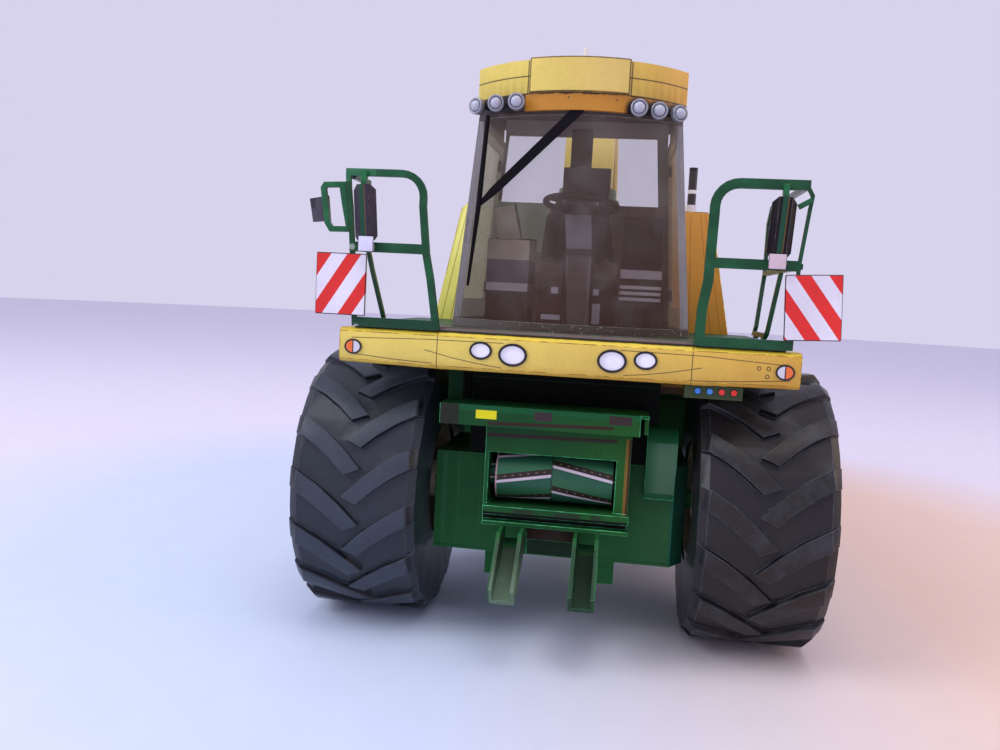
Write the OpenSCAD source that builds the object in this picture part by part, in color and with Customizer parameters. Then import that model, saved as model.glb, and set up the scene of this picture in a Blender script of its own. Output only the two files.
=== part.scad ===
// Card model of a self-propelled forage harvester, about 1:25, in millimetres.
// The front faces -Y and the wheels stand on z = 0.
// Inside the modules y is counted from the front face of the yellow front beam;
// place() then moves the whole model so that the origin lies under its middle.

/* [Front wheels] */
// Radius over the lugs of a front tyre
front_tyre_r = 35.5; // [34:0.1:36.5]
// Width of a front tyre
front_tyre_w = 31.5; // [27:0.5:33]
// Radius of the front rim
front_rim_r = 16.3; // [14:0.1:18]
// Lugs in each of the two rows of a front tyre
front_lugs = 16; // [14:1:18]
// Half of the width over the front tyres
front_half = 65; // [62:0.5:67]

/* [Rear wheels] */
// Radius over the lugs of a rear tyre
rear_tyre_r = 28; // [26:0.1:29]
// Width of a rear tyre
rear_tyre_w = 22; // [18:0.5:24]
// Radius of the rear rim
rear_rim_r = 12.2; // [10:0.1:14]
// Lugs in each of the two rows of a rear tyre
rear_lugs = 14; // [12:1:16]
// Half of the width over the rear tyres
rear_half = 60; // [58:0.5:62]
// Distance between the two axles
wheelbase = 126; // [118:1:134]

/* [Tyre lugs and shafts] */
// Height of a lug above the carcass
lug_h = 1.4; // [0.8:0.1:2]
// Width of a lug bar at the shoulder
lug_w = 5.4; // [3:0.1:6]
// Radius of the wire that a wheel turns on
shaft_r = 2.5; // [1.5:0.1:3.5]
// Gap around a shaft
shaft_gap = 0.08; // [0.02:0.01:0.1]
// Gap between a turning piece and its stops, along its axis
turn_gap = 0.25; // [0.15:0.05:0.4]

/* [Front beam and platform] */
// Half of the length of the yellow front beam
beam_half = 53.5; // [50:0.5:56]
// Height of the underside of the beam
beam_z = 69; // [68:0.1:70]
// Height of the beam
beam_h = 8.7; // [8:0.1:9.5]
// Depth of the beam, front to back
beam_d = 8; // [6:0.5:10]
// Thickness of the platform
deck_t = 1.3; // [1:0.1:1.6]

/* [Cab] */
// Half of the width of the windscreen at its foot
screen_foot_half = 29.6; // [28:0.1:31]
// Half of the width of the windscreen at its top
screen_top_half = 24.5; // [23:0.1:24.6]
// Half of the width of the cab's back wall at its foot
back_foot_half = 27.5; // [26:0.5:29]
// Half of the width of the cab's back wall at its top
back_top_half = 24; // [23.4:0.1:24.4]
// Height of the glazed cab between platform and roof
cab_h = 51.5; // [48:0.5:54]
// Distance of the cab's back wall from the front of the beam
cab_back = 50; // [47:0.5:52]
// Thickness of the card that frames the cab
post_t = 1.2; // [1:0.1:1.6]
// Thickness of the clear film in the windows
film_t = 0.5; // [0.3:0.1:0.8]
// Width of a window post
post_w = 2; // [1.4:0.1:2.6]
// Height of the rear window's foot above the platform
rear_window_rise = 35; // [33:0.1:36]
// Height of the rear window
rear_window_h = 18.7; // [16:0.1:18.8]

/* [Roof] */
// Half of the width of the roof
roof_half = 25.2; // [24.6:0.1:27]
// Height of the yellow roof band
roof_band_h = 7.6; // [6.5:0.1:8.5]
// Height of the tapered band under it
roof_taper_h = 3.9; // [3.2:0.1:4.5]
// Radius of the roof's round front
roof_front_r = 32.6; // [30:0.1:36]
// Height of the antenna on the roof
antenna_h = 12.6; // [6:0.2:16]

/* [Rear body] */
// Distance of the rear body's front from the front of the beam
hood_front = 66; // [64:0.5:68]
// Length of the rear body
hood_len = 160; // [150:1:166]
// Height of the rear body's top above the floor
hood_top = 115; // [112:0.5:118]
// Height of the rear body's underside above the floor
hood_foot = 60; // [59:0.5:62]
// Half of the rear body's greatest width
hood_half = 45; // [43:0.5:47]
// Half of the rear body's width at its top edge
hood_top_half = 38; // [34:0.5:40]

/* [Discharge spout] */
// Distance of the spout's swivel from the rear body's front
swivel_back = 12; // [11:0.5:14]
// Width of the spout
spout_w = 15; // [12:0.5:17]
// Depth of the spout at its foot
spout_d = 13; // [10:0.5:14]
// Depth of the spout at its mouth
spout_end_d = 7; // [6.5:0.5:9]
// Radius of the bend that turns the spout backwards
spout_bend_r = 30; // [27:0.5:32]
// Length of the spout behind the bend
spout_reach = 112; // [95:1:118]
// Thickness of the spout's walls
spout_wall = 1; // [0.8:0.1:1.4]

/* [Rails, mirrors and boards] */
// Height of the rails above the foot of the platform
rail_h = 37; // [34:0.5:40]
// Height of the middle rail's centre above the foot of the platform
rail_mid_h = 19.2; // [18.4:0.1:20]
// Thickness of the card that the rails are cut from
rail_t = 1.2; // [1:0.1:1.6]
// Width of a front rail strip
rail_w = 2; // [1.6:0.1:2.4]
// Width of a side rail strip
side_rail_w = 1.3; // [1:0.1:1.8]
// Distance of the side rail's far post from the front
side_rail_len = 50; // [46:0.5:54]
// Width of a red and white warning board
board_w = 12.3; // [11:0.1:13]
// Height of a warning board
board_h = 14.6; // [14:0.1:15.4]
// Width of a mirror head
mirror_w = 5.3; // [4.6:0.1:6]
// Height of a mirror head
mirror_h = 13; // [11:0.1:13.4]

/* [Feed opening] */
// Half of the width of the feed opening
feed_half = 15.7; // [15:0.1:16.4]
// Height of the foot of the feed opening
feed_z = 35.4; // [34.6:0.1:36]
// Height of the feed opening
feed_h = 13; // [12:0.1:13.6]
// Radius of the feed roller
roller_r = 6.3; // [5:0.1:6.4]
// Width of a coupling hook
hook_w = 6.1; // [5:0.1:7]

/* [Tanks, step boxes and ladder] */
// Height of a side tank
tank_h = 20; // [16:0.5:22]
// Length of a side tank
tank_len = 40; // [30:1:44]
// Height of a step box behind a side tank
step_box_h = 14; // [10:0.5:16]
// Width of the ladder, away from the machine
ladder_w = 8; // [7:0.5:9]
// Length of a ladder tread
tread_len = 10; // [8:0.5:12]
// Height from one ladder tread to the next
tread_pitch = 12; // [10:0.5:13]
// Thickness of the ladder's card
ladder_t = 1.2; // [1:0.1:1.6]

/* [Hidden] */

front_axle_y = 33.5;
rear_axle_y = front_axle_y + wheelbase;
deck_z = beam_z + beam_h;
deck_top = deck_z + deck_t;
deck_half = beam_half - 3.3;
cab_z0 = deck_top;
cab_z1 = cab_z0 + cab_h;
screen_foot_apex = 5;
screen_foot_corner = 17;
screen_top_apex = 5.4;
screen_top_corner = 13.6;
rear_window_x = -1;
rear_window_foot_half = 22.3;
rear_window_top_half = 20.8;
rear_window_z0 = deck_top + rear_window_rise;
rear_window_z1 = rear_window_z0 + rear_window_h;
roof_apex = 3.4;
roof_z0 = cab_z1 + roof_taper_h;
roof_z1 = roof_z0 + roof_band_h;
roof_wall = 1.2;
ceiling_z = roof_z0 + 2.6;
sign_half = 11.6;
lamp_r = 1.9;
lamp_z = cab_z1 + 1.4;
hood_back = hood_front + hood_len;
hood_waist_z = deck_top;
hood_chamfer = 1.6;
hood_slope = atan((hood_half - hood_top_half) / (hood_top - hood_chamfer - hood_waist_z));
swivel_y = hood_front + swivel_back;
turret_r = 10;
turret_h = 3.4;
collar_h = 3;
swivel_pin_r = 4;
spout_foot_z = hood_top + turret_h + turn_gap;
spout_bend_z = spout_foot_z + collar_h;
spout_fall_r = 300;
rail_z0 = deck_z;
rail_z1 = rail_z0 + rail_h;
rail_mid_z = rail_z0 + rail_mid_h;
side_rail_x = 51.2;
side_lean = 7.5;
intake_x = -1.1;
feed_x = intake_x - 0.5;
housing_front = 10;
housing_half = feed_half + 2.4;
feed_bar_h = 5;
axle_box_front = 20;
axle_box_back = 52;
axle_box_half = front_half - front_tyre_w - 1;
axle_box_z0 = 20.2;
axle_box_z1 = 46;
housing_top = 55.3;
core_half = 24;
roller_y = 17.5;
roller_gap = 0.6;
hook_reach = 10;
hook_half = 12.2;
rail_beam_z = 46;
chassis_x = 14;
hitch_len = 7;
lug_sink = 1.5;
lug_fall = 2;
lug_blunt = 20;
shoulder_drop = 1.2;
tyre_sides = 36;
lug_sweep = 19;
left_turn = -5.25;
right_turn = -10.5;
chamfer = 2;
hitch_bore_r = 1.3;

rear_most = max(hood_back + hitch_len, swivel_y + spout_bend_r + spout_reach);
mid_y = (rear_most - hook_reach) / 2;

function arc_front(half, apex, corner, steps) =
    let (rise = corner - apex, r = (half * half + rise * rise) / (2 * rise), a = asin(half / r))
    [for (i = [0:steps]) let (t = -a + 2 * a * i / steps) [r * sin(t), apex + r - r * cos(t)]];

function arc_points(c, r, from, to, steps) =
    [for (i = [0:steps]) let (t = from + (to - from) * i / steps) c + r * [cos(t), sin(t)]];

function ring(sides, r) =
    [for (i = [0:sides - 1]) r * [cos((i + 0.5) * 360 / sides), sin((i + 0.5) * 360 / sides)]];

module place() translate([0, -mid_y, 0]) children();

module both_sides() {
    children();
    mirror([1, 0, 0]) children();
}

// A box between two corners
module block(x, y, z) translate([x[0], y[0], z[0]])
    cube([x[1] - x[0], y[1] - y[0], z[1] - z[0]]);

// An outline in y and z, extruded across x from x0 to x1
module across(x0, x1) translate([x0, 0, 0]) rotate([90, 0, 90]) linear_extrude(x1 - x0) children();

// An outline in x and z, extruded backwards from y0
module backwards(y0, depth) translate([0, y0 + depth, 0]) rotate([90, 0, 0])
    linear_extrude(depth) children();

// A bar along x with its own radius
module shaft(x0, x1, r) translate([x0, 0, 0]) rotate([0, 90, 0]) cylinder(r = r, h = x1 - x0, $fn = 48);

// Running gear

module chassis() place() color("#2f6a41") {
    both_sides() block([chassis_x, chassis_x + 4], [hood_front, hood_back - 2], [rail_beam_z, hood_foot]);
    block([-chassis_x, chassis_x], [hood_front, hood_back - 2], [rail_beam_z + 3, rail_beam_z + 5]);
    for (y = [hood_front + 24, hood_front + 60, hood_back - 24])
        block([-chassis_x, chassis_x], [y, y + 2], [rail_beam_z + 0.6, rail_beam_z + 3]);
}

// Room for the feed roller, cut through the pieces behind it
module roller_room(over) block([-feed_half, feed_half],
    [roller_y - roller_r - over, roller_y + roller_r + 1.5],
    [feed_z - roller_gap, feed_z + feed_h + roller_gap]);

module front_axle() place() color("#2e6b3d") {
    box = [[-axle_box_half, axle_box_front], [axle_box_half - 3.4, axle_box_front],
        [axle_box_half, axle_box_front + 5], [axle_box_half, axle_box_back], [-axle_box_half, axle_box_back]];
    difference() {
        translate([0, 0, axle_box_z0]) linear_extrude(axle_box_z1 - axle_box_z0) polygon(box);
        translate([feed_x, 0, 0]) roller_room(1);
    }
    for (x = [-19.2, 11]) block([x, x + 4.2], [25, 26.2], [axle_box_z0 - 7.6, axle_box_z0]);
    both_sides() translate([0, front_axle_y, front_tyre_r]) {
        shaft(axle_box_half - 1, front_half - 6, shaft_r);
        shaft(front_half - 7.2, front_half - 6, shaft_r + 2.2);
    }
}

module rear_axle() place() color("#2e6b3d") {
    knuckle_x = rear_half - rear_tyre_w - 6.5;
    block([-knuckle_x, knuckle_x], [rear_axle_y - 5, rear_axle_y + 5],
        [rear_tyre_r - 4.5, rear_tyre_r + 4.5]);
    block([-8, 8], [rear_axle_y - 7, rear_axle_y + 7], [rear_tyre_r + 4.5, rail_beam_z]);
    block([-chassis_x - 4, chassis_x + 4], [rear_axle_y - 7, rear_axle_y + 7],
        [rail_beam_z - 3, rail_beam_z]);
    both_sides() {
        translate([knuckle_x, rear_axle_y, rear_tyre_r - 8]) cylinder(r = 4, h = 16, $fn = 48);
        translate([0, rear_axle_y, rear_tyre_r]) {
            shaft(knuckle_x, rear_half - 5, shaft_r);
            shaft(rear_half - 6.2, rear_half - 5, shaft_r + 2.2);
        }
    }
}

// Rim with its outer face towards +X, centred on its axle
module rim(r, half, width, dish) {
    x0 = half - width;
    rotate([0, 90, 0]) rotate_extrude($fn = 72) {
        translate([r - 1.6, x0 + 0.6]) square([1.5, width - 1.2]);
        translate([shaft_r + shaft_gap, half - dish - 2]) square([r - 1.5 - shaft_r - shaft_gap, 2]);
        translate([shaft_r + shaft_gap, x0 + 1]) square([2.4, half - dish - x0 + 1]);
    }
}

// One lug bar: a strip bent round the carcass, from the middle of the tread to the shoulder.
// angle is where its tip lies on the carcass, and sweep how far it climbs to the shoulder.
// Its tip is cut bluntly, so that it reaches a little over the middle.
module lug(r, width, side, angle, sweep) {
    along = [0, 0.28, 0.58, 0.87, 1];
    steps = len(along) - 1;
    u0 = -0.2;
    u1 = width / 2;
    foot = r - lug_h - lug_sink;
    per_mm = 180 / PI / r;
    stations = [for (s = along) let (
            u = u0 + (u1 - u0) * s,
            arc = angle + sweep * (1.44 * s - 0.44 * s * s),
            lie = atan(sweep * (1.44 - 0.88 * s) / per_mm / (u1 - u0)),
            cut = (lie + lug_blunt) * (1 - s),
            half = lug_w / 2 * (0.85 + 0.15 * s) / cos(lie - cut),
            a = half * sin(cut),
            b = half * cos(cut) * per_mm,
            cap = (s == 1) ? r - lug_fall : r)
        [[u + a, arc - b, foot], [u - a, arc + b, foot],
            [u - a * 0.85, arc + b * 0.85, cap], [u + a * 0.85, arc - b * 0.85, cap]]];
    points = [for (corners = stations) for (p = corners)
        [side * p[0], -p[2] * cos(p[1]), p[2] * sin(p[1])]];
    skin = [for (i = [0:steps - 1]) for (k = [0:3]) [4 * i + k, 4 * i + (k + 1) % 4,
        4 * (i + 1) + (k + 1) % 4, 4 * (i + 1) + k]];
    ends = [[3, 2, 1, 0], [for (k = [0:3]) 4 * steps + k]];
    faces = concat(skin, ends);
    polyhedron(points = points, faces = side > 0 ? [for (f = faces) reversed(f)] : faces);
}

// Tyre centred on its own axle and its own middle; turn is how far its lugs have rolled
module tyre(r, width, rim_r, lugs, turn) {
    body_r = r - lug_h;
    difference() {
        rotate([0, 90, 0]) union() {
            linear_extrude(width - 2 * chamfer, center = true) polygon(ring(tyre_sides, body_r));
            for (s = [0, 1]) mirror([0, 0, s]) translate([0, 0, width / 2 - chamfer])
                linear_extrude(chamfer, scale = (body_r - shoulder_drop) / body_r)
                    polygon(ring(tyre_sides, body_r));
        }
        shaft(-width, width, rim_r);
    }
    for (side = [-1, 1], i = [0:lugs - 1])
        lug(r, width, side, turn + (i + (side > 0 ? 0.5 : 0)) * 360 / lugs, lug_sweep);
}

module front_tyre(side, turn) place() color("#3f464f")
    translate([side * (front_half - front_tyre_w / 2), front_axle_y, front_tyre_r])
        tyre(front_tyre_r, front_tyre_w, front_rim_r, front_lugs, turn);

module rear_tyre(side) place() color("#3f464f")
    translate([side * (rear_half - rear_tyre_w / 2), rear_axle_y, rear_tyre_r])
        tyre(rear_tyre_r, rear_tyre_w, rear_rim_r, rear_lugs, 0);

module front_rim(side) place() color("#e8e4d2") translate([0, front_axle_y, front_tyre_r])
    mirror([side > 0 ? 0 : 1, 0, 0]) rim(front_rim_r, front_half, front_tyre_w, 9.5);

module rear_rim(side) place() color("#e8e4d2") translate([0, rear_axle_y, rear_tyre_r])
    mirror([side > 0 ? 0 : 1, 0, 0]) rim(rear_rim_r, rear_half, rear_tyre_w, 8.5);

module tyre_front_left() front_tyre(1, left_turn);
module tyre_front_right() front_tyre(-1, right_turn);
module tyre_rear_left() rear_tyre(1);
module tyre_rear_right() rear_tyre(-1);
module rim_front_left() front_rim(1);
module rim_front_right() front_rim(-1);
module rim_rear_left() rear_rim(1);
module rim_rear_right() rear_rim(-1);

// Crop intake between the front wheels

module chopper_housing() place() color("#24512f") {
    difference() {
        block([-core_half, core_half], [axle_box_front, hood_front], [axle_box_z1, deck_z]);
        translate([feed_x, 0, 0]) roller_room(1);
    }
    strip_x = max(core_half + 2.4, axle_box_half - 2.5);
    block([-strip_x, -core_half - 1.4], [axle_box_front - 2, axle_box_front + 4], [60, deck_z]);
    block([-core_half - 1.4, -core_half], [axle_box_front + 1, axle_box_front + 4], [60, deck_z]);
}

// Frame round the feed opening, a folded bar over it, a lip under it and a curved guard beside it
module feed_frame() place() color("#2d7a45") {
    bar_end = housing_half + 2.2;
    bar_z = [housing_top, housing_top + feed_bar_h];
    translate([intake_x, 0, 0]) {
        difference() {
            block([-housing_half + 0.9, housing_half + 0.5], [housing_front, axle_box_front],
                [30.6, housing_top]);
            translate([feed_x - intake_x, 0, 0]) {
                block([-feed_half, feed_half], [housing_front - 1, axle_box_front + 1],
                    [feed_z, feed_z + feed_h]);
                roller_room(roller_gap);
            }
        }
        block([-housing_half - 10.3, bar_end], [6, 7.2], bar_z);
        block([-housing_half - 10.3, bar_end + 2], [7.2, axle_box_front - 2],
            [bar_z[1] - 0.8, bar_z[1]]);
        block([bar_end + 1, bar_end + 2], [8.2, axle_box_front - 2],
            [bar_z[0] + 0.3, bar_z[1] - 0.8]);
        block([-housing_half - 10.3, -housing_half + 2], [7.2, axle_box_front - 2],
            [bar_z[0], bar_z[1] - 0.8]);
        block([-housing_half + 1, housing_half - 1], [7.2, housing_front + 0.8], [bar_z[0], bar_z[0] + 1]);
        block([-housing_half + 1.2, housing_half + 0.8], [7.6, housing_front], [feed_z - 2.2, feed_z]);
        block([-housing_half + 1.2, housing_half + 0.8], [7.6, housing_front], [30.6, 31.6]);
        block([-hook_half + hook_w, hook_half - hook_w], [housing_front + 1.2, axle_box_front], [26.8, 30.6]);
        block([-hook_half + hook_w, hook_half - hook_w], [axle_box_front - 6, axle_box_front], [22.2, 26.8]);
    }
    across(axle_box_half - 11.2, axle_box_half - 3.7) polygon(concat([[axle_box_front, 38.4], [axle_box_front - 4, 38.4]],
        arc_points([axle_box_front, 49.6], 6.8, 180, 90, 8)));
}

module feed_roller() place() color("#3b4a41") {
    translate([feed_x, roller_y, feed_z + feed_h / 2]) {
        shaft(-feed_half, feed_half, roller_r - 3);
        shaft(-feed_half + 1.6, feed_half - 0.6, roller_r);
    }
}

// One coupling hook: a channel open to the front that runs down and forwards
module hook() {
    root = [[housing_front + 1, 30.6], [1.5, 30.6]];
    back = [[-hook_reach + 2.6, 16.2], [4, 21], [8, 24], [housing_front + 1, 26]];
    outline = concat(root, [[-0.5, 28.4], [-hook_reach, 20.2]], back);
    web = concat([[housing_front + 1, 26.8], [8, 25], [4, 22.2], [-hook_reach + 2, 17.2]], back);
    for (x = [0, hook_w - 0.9]) across(x, x + 0.9) polygon(outline);
    across(0.9, hook_w - 0.9) polygon(web);
}

module coupling_hooks() place() color("#2f8a50") translate([intake_x, 0, 0])
    for (x = [-hook_half, hook_half - hook_w]) translate([x, 0, 0]) difference() {
        hook();
        block([-1, hook_w + 1], [housing_front, housing_front + 2], [30, 32]);
    }

module coupler_block() place() color("#2d5f3a") {
    block([28.4, 41.4], [1.5, 6], [beam_z - 3, beam_z]);
    for (i = [0:3]) translate([31.3 + i * 2.7, 1.5, beam_z - 1.25]) rotate([90, 0, 0])
        cylinder(r = 0.65, h = 0.6, $fn = 24);
    translate([0, 2.6, beam_z + 2]) shaft(beam_half, beam_half + 2.5, 0.45);
}

// Front beam with its lamps, and the platform

// Section of the beam in y and z, its underside raised by a given cut
function beam_profile(cut) = [[0.8, beam_z + cut], [beam_d, beam_z + cut], [beam_d, deck_z],
    [0.8, deck_z], [0, deck_z - 0.8], [0, beam_z + cut + 0.8]];

module fascia() place() color("#e6cb62") {
    seam = 29.6;
    slim = 0.5;
    across(-seam, seam) polygon(beam_profile(0));
    both_sides() hull() {
        across(seam, seam + 0.1) polygon(beam_profile(0));
        across(beam_half - 0.1, beam_half) polygon(beam_profile(slim));
    }
}

// Lamp plates on the beam: centre x, height above the beam's underside, half width, half height
module fascia_lamps() place() color("#d7dbe2") {
    lamps = [[11.5, 4.4, 3.4, 2.7], [19.1, 5.0, 2.7, 2.15], [50, 4.2, 2.1, 1.8]];
    both_sides() for (lamp = lamps)
        translate([lamp[0], 0, beam_z + lamp[1]]) backwards(-0.4, 0.4)
            polygon([for (i = [0:31]) [lamp[2] * cos(i * 11.25), lamp[3] * sin(i * 11.25)]]);
}

module platform() place() color("#2c5b3c") {
    block([-deck_half, deck_half], [rail_t, hood_front], [deck_z, deck_top]);
    both_sides() block([core_half, deck_half - 2], [hood_front - 4, hood_front - 2.8], [deck_z - 5, deck_z]);
}

// Cab

// The cab's tapered body, drawn in by a given thickness
module cab_solid(inset, over = 0) {
    foot = concat(arc_front(screen_foot_half, screen_foot_apex, screen_foot_corner, 16),
        [[back_foot_half, cab_back], [-back_foot_half, cab_back]]);
    top = concat(arc_front(screen_top_half, screen_top_apex, screen_top_corner, 16),
        [[back_top_half, cab_back], [-back_top_half, cab_back]]);
    hull() {
        translate([0, 0, cab_z0 - over]) linear_extrude(0.1) offset(delta = -inset) polygon(foot);
        translate([0, 0, cab_z1 - 0.1 + over]) linear_extrude(0.1) offset(delta = -inset) polygon(top);
    }
}

module cab_shell(wall) difference() {
    cab_solid(0);
    cab_solid(wall, 0.2);
}

// A slab that leans with the cab's side, from a front margin to a rear margin, and from z0 to z1
module leaning_slab(margin, z0, z1) difference() {
    hull() {
        translate([-40, screen_foot_corner + margin, cab_z0 - 1])
            cube([80, cab_back - screen_foot_corner - 2 * margin, 0.1]);
        translate([-40, screen_top_corner + margin, cab_z1 + 1])
            cube([80, cab_back - screen_top_corner - 2 * margin, 0.1]);
    }
    block([-50, 50], [0, 60], [cab_z0 - 5, z0]);
    block([-50, 50], [0, 60], [z1, cab_z1 + 5]);
}

module side_windows_zone() leaning_slab(post_w, cab_z0 + post_w, cab_z1 - post_w);

// The opening of a door frame, inside the side zone
module door_window_zone() leaning_slab(2 * post_w, cab_z0 + 3.5 * post_w, cab_z1 - 2 * post_w);

module screen_zone() difference() {
    hull() {
        translate([-40, -10, cab_z0 - 1]) cube([80, screen_foot_corner + 10, 0.1]);
        translate([-40, -10, cab_z1 + 1]) cube([80, screen_top_corner + 10, 0.1]);
    }
    block([-50, 50], [-20, 60], [cab_z0 - 5, cab_z0 + post_w]);
    block([-50, 50], [-20, 60], [cab_z1 - 0.8, cab_z1 + 5]);
}

module rear_window_zone() translate([rear_window_x, 0, 0]) backwards(cab_back - 6, 9) polygon([
    [-rear_window_foot_half, rear_window_z0], [rear_window_foot_half, rear_window_z0],
    [rear_window_top_half, rear_window_z1], [-rear_window_top_half, rear_window_z1]]);

// The back wall, which goes on up to the ceiling inside the roof
module back_wall(thick) backwards(cab_back - thick, thick) polygon([[-back_foot_half, cab_z0],
    [back_foot_half, cab_z0], [back_top_half, cab_z1], [back_top_half - roof_wall, cab_z1],
    [back_top_half - roof_wall, ceiling_z], [roof_wall - back_top_half, ceiling_z],
    [roof_wall - back_top_half, cab_z1], [-back_top_half, cab_z1]]);

module cab_frame() place() color("#3d463f") difference() {
    union() {
        cab_shell(post_t);
        back_wall(post_t);
    }
    side_windows_zone();
    screen_zone();
    rear_window_zone();
}

module cab_doors() place() color("#4a5550") difference() {
    intersection() {
        cab_shell(post_t);
        side_windows_zone();
    }
    door_window_zone();
}

module windscreen() place() color([0.62, 0.64, 0.62, 0.4]) intersection() {
    cab_shell(film_t);
    screen_zone();
}

module side_glass() place() color([0.62, 0.64, 0.62, 0.4]) intersection() {
    cab_shell(film_t);
    door_window_zone();
}

module rear_glass() place() color([0.62, 0.64, 0.62, 0.4]) intersection() {
    back_wall(film_t);
    rear_window_zone();
}

// Roof plan: a round front between straight sides
module roof_plan(inset) intersection() {
    translate([0, roof_apex + roof_front_r]) circle(r = roof_front_r - inset, $fn = 96);
    translate([-roof_half + inset, 0]) square([2 * (roof_half - inset), cab_back + 1 - inset]);
}

module roof_taper(inset) hull() {
    translate([0, 0, cab_z1 - inset]) linear_extrude(0.1) roof_plan(0.5 + inset);
    translate([0, 0, roof_z0 - 0.1]) linear_extrude(0.1) roof_plan(inset);
}

// Band with a tapered skirt, hollow up to the ceiling and open at the back below the band
module roof() place() color("#e9d26f") difference() {
    union() {
        translate([0, 0, roof_z0]) linear_extrude(roof_band_h) roof_plan(0);
        roof_taper(0);
    }
    translate([0, 0, cab_z1 - 1]) linear_extrude(ceiling_z - cab_z1 + 1) {
        half = roof_half - roof_wall - 0.8;
        roof_plan(roof_wall + 0.8);
        translate([-half, cab_back - 10]) square([2 * half, 10]);
    }
    block([-roof_half, roof_half], [cab_back - post_t - 0.2, cab_back + 2], [cab_z1 - 1, roof_z0]);
}

module roof_sign() place() color("#ecd676") difference() {
    translate([0, 0, roof_z0]) linear_extrude(roof_band_h + 0.3) intersection() {
        translate([0, roof_apex + roof_front_r]) circle(r = roof_front_r + 0.6, $fn = 96);
        translate([-sign_half, 0]) square([2 * sign_half, 12]);
    }
    translate([0, 0, roof_z0 - 1]) linear_extrude(roof_band_h + 2) roof_plan(0);
}

// Work lamps under the roof: x, distance of the lens from the front, height against lamp_z, and
// how far each is turned outwards
module work_lamps() place() color("#8c8f92") difference() {
    lamps = [[-14.2, 4.4, 0, 0], [-19.3, 6.6, 0, 0], [-23.9, 9.8, 0, -30],
        [14, 4.4, -0.8, 0], [18.6, 6.6, -0.9, 0], [22.7, 9.6, -0.8, 30]];
    for (lamp = lamps) translate([lamp[0], lamp[1], lamp_z + lamp[2]])
            rotate([0, 0, lamp[3]]) rotate([90, 0, 0]) {
        cylinder(r = lamp_r, h = 1.6, $fn = 32);
        translate([0, 0.7, -5]) cylinder(r = 0.9, h = 5, $fn = 24);
        translate([0, 0, 1.2]) sphere(r = 1.1, $fn = 24);
    }
    roof_taper(0);
}

module antenna() place() color("#eeeeee") {
    translate([-1, 40, roof_z1]) cylinder(r = 0.55, h = antenna_h, $fn = 24);
    translate([-1, 40, roof_z1]) cylinder(r = 1.2, h = 1, $fn = 24);
}

// Wiper: a flat arm that hangs from the roof's edge across the screen, and a blade along its side
module wiper_bars() {
    pivot = [0.6, roof_apex + 0.7, cab_z1 + 0.6];
    reach = [-23.2, 3.5, -22.6];
    joint = pivot + reach;
    blade = [[-21.5, 8.2, cab_z1 - 1.3], joint, [-24.7, 9.6, cab_z0 + 10.4]];
    thick = [0.55, 0.65, 0.35];
    flat = [-norm([reach[0], reach[1]]), reach[2]];
    side = left_of(unit(flat));
    translate(pivot) rotate([0, 0, -atan(-reach[1] / reach[0])]) backwards(0, 0.5)
        polygon([1.2 * side, flat * 0.85 + side, flat + 0.4 * side, flat - 0.4 * side,
            flat * 0.85 - side, -1.2 * side]);
    for (i = [0:1]) hull() for (k = [i, i + 1])
        translate(blade[k]) sphere(r = thick[k], $fn = 12);
}

module wiper() place() color("#1b1c1e") difference() {
    wiper_bars();
    roof_taper(0);
}

// Inside the cab

// Card seat with its flared sides, a slim back and a tall headrest
module seat() place() color("#4c4a4c") translate([1.2, 0, 0]) {
    block([-4, 4], [36, 44], [deck_top, deck_top + 14]);
    block([-7, 7], [33, 45], [deck_top + 14, deck_top + 19]);
    backwards(37, 2) polygon([[-11.2, deck_top + 19], [-10, deck_top + 30], [-6.5, deck_top + 36],
        [6.5, deck_top + 36], [7.6, deck_top + 27], [9.4, deck_top + 19]]);
    block([-6.5, 6.5], [43, 46], [deck_top + 19, deck_top + 44.4]);
    block([-6.5, 6.5], [39, 43], [deck_top + 19, deck_top + 22]);
    block([-4.8, 1], [43.4, 45.6], [deck_top + 44.4, ceiling_z - 3]);
}

// Steering column in two pieces with a collar, and the wheel on it
module steering_column() place() color("#3a3a3c") {
    collar_z = deck_top + 19.4;
    wheel_z = deck_top + 32.4;
    hull() {
        block([-0.4, 4.9], [17, 22], [deck_top, deck_top + 0.1]);
        block([-1.8, 4.6], [19, 24], [collar_z - 0.1, collar_z]);
    }
    block([-2.2, 5], [18.6, 24.6], [collar_z, collar_z + 1.2]);
    hull() {
        block([-1.8, 4.6], [19.2, 24.2], [collar_z + 1.2, collar_z + 1.3]);
        block([-2.8, 3.8], [23, 27], [wheel_z - 3, wheel_z - 2.9]);
    }
    translate([1, 26, wheel_z]) rotate([-7, 3, 0]) {
        rotate_extrude($fn = 48) translate([9.2, 0]) circle(r = 0.8, $fn = 16);
        for (a = [90, 210, 330]) rotate([0, 0, a]) block([0, 9], [-0.7, 0.7], [-0.5, 0.5]);
        translate([0, 0, -3.2]) cylinder(r = 2, h = 4, $fn = 32);
    }
}

// Boxes beside the driver: x, y and height above the platform
module consoles() place() color("#b9a68a") {
    boxes = [[[-22.2, -11.3], [22, 38], 22.6], [[-22.6, -12], [38, 46], 24], [[12, 22.6], [24, 38], 16.4],
        [[12, 22.8], [38, 46], 33.4], [[-9, -2.7], [24, 31], 17.2], [[5.2, 11.3], [24, 31], 17.9]];
    for (box = boxes) block(box[0], box[1], [deck_top, deck_top + box[2]]);
    translate([-21, 31, deck_top + 22.6]) rotate([0, -12, 0]) block([0.4, 6.6], [0, 0.8], [-0.6, 9]);
}

// Rails, mirrors and boards

function unit(v) = v / norm(v);

function left_of(v) = [-v[1], v[0]];

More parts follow.
